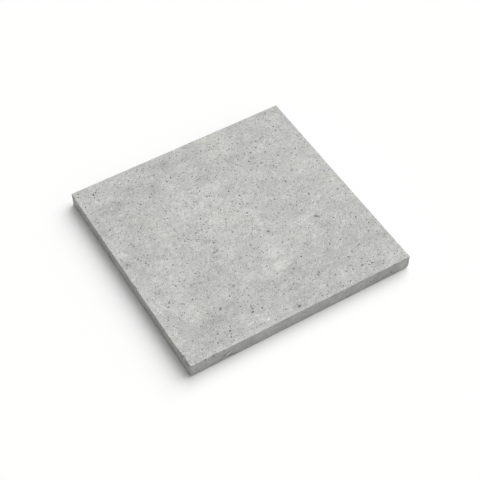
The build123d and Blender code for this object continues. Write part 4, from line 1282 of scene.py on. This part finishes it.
def concrete(plan):
    paint = bpy.data.materials.new("pressedConcrete")
    paint.use_nodes = True
    graph = Graph(paint.node_tree)
    spot = graph.stretch(graph.wire("TexCoord", "Object"), 3 * (1 / mm,))
    dark, light, broken, cloudAndHighlight = (
        graph.wire("Attribute", "Fac", {"attribute_name": name})
        for name in ("dark", "light", "broken", "cloudAndHighlight")
    )

    # Where on the slab: how far out from the middle, and how near the edges
    axes = graph.node("SeparateXYZ", None, spot)
    x, y, z = (Wire(graph, axes.outputs[number]) for number in range(3))
    out = abs(x).math("MAXIMUM", abs(y))
    side = graph.ease(out, *(halfSide - inset for inset in plan["sideEdge"]))
    onTop = graph.ease(z, *(faceZ - depth for depth in plan["topEdge"]))
    # the rim of the wearing face, where its painted highlight goes
    rim = graph.ease(out, halfSide - plan["rimWidth"], halfSide - plan["rimEnd"]) * onTop

    # Mottling of the mass, drawn out a little one way, and its grain
    drawn = graph.stretch(graph.turned(spot, plan["drawnWay"]), (1 / plan["drawnOut"], 1, 1))
    # the clouds, with the painted highlight along the low Y edge of the wearing face
    tone = 1 + cloudAndHighlight
    for shift, size, strength, torn in layers(plan, "mottle"):
        tone = tone * (1 + graph.noise(drawn, size, shift, torn) * strength)
    fine = 1 - side * plan["sideSmooth"]
    for shift, size, strength in layers(plan, "grain"):
        tone = tone * (1 + graph.noise(spot, size, shift) * strength * fine)

    # Specks, pores, flecks, a painted highlight on the rim, and fresh breaks. Marks, cracks, chips
    # and fresh breaks are darker partly by their own colour and partly by painted shade
    specks = 0.0
    for layer in plan["specks"]:
        mask = speckMask(graph, spot, plan, layer)
        tone = tone * (1 - mask * layer["dark"] * fine)
        specks = mask + specks
    # pores, specks, cracks and chips darker: partly their own colour, partly painted shade in their hollows
    tone = tone * (1 - dark * plan["markDarkAndShade"])
    tone = tone * (1 + light * plan["fleckLight"])
    # painted highlight along the rim of the wearing face
    tone = tone * (1 + rim * plan["rimHighlight"])
    # fresh breaks: grainy, and darker, partly as a real fresh break and partly as painted shade in the chips
    crumbs = graph.noise(spot, plan["brokenLumps"], plan["shift"]["broken"])
    tone = tone * (1 + broken * (crumbs * plan["brokenGrain"] - plan["brokenDarkAndShade"]))

    # Sides: upright streaks, and painted shade that darkens their foot
    sideTone = (graph.ease(z, 0.0, plan["footHeight"]) - 1) * plan["footShade"]
    for shift, along, up, strength in layers(plan, "sideLumps"):
        sideTone = sideTone + graph.noise(spot, (along, along, up), shift) * strength
    tone = tone * (1 + side * sideTone)

    # Colour, relief and roughness
    drift = graph.noise(spot, plan["drift"], plan["shift"]["drift"])
    drift = graph.ease(drift, -plan["driftSoft"], plan["driftSoft"])
    colour = graph.stretch(graph.blend(drift, plan["warm"], plan["cool"]), tone)
    height = specks * -plan["speckDepth"]
    for shift, size, most in layers(plan, "relief"):
        height = height + graph.noise(spot, size, shift) * (2 * most)
    bump = graph.wire("Bump", 0, None, Height=height, Distance=mm, Strength=1.0)
    lumps = graph.noise(spot, plan["roughLumps"], plan["shift"]["roughness"])
    roughness = lumps * plan["roughSpread"] + plan["roughness"]
    shader = graph.wire("BsdfPrincipled", 0, None, Base_Color=colour, Roughness=roughness, Normal=bump)
    graph.node("OutputMaterial", None, shader)
    return paint


slab = makeSlab()
slab.data.materials.append(concrete(finish))
print("concrete mixed")
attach(slab, "root")
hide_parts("slab")
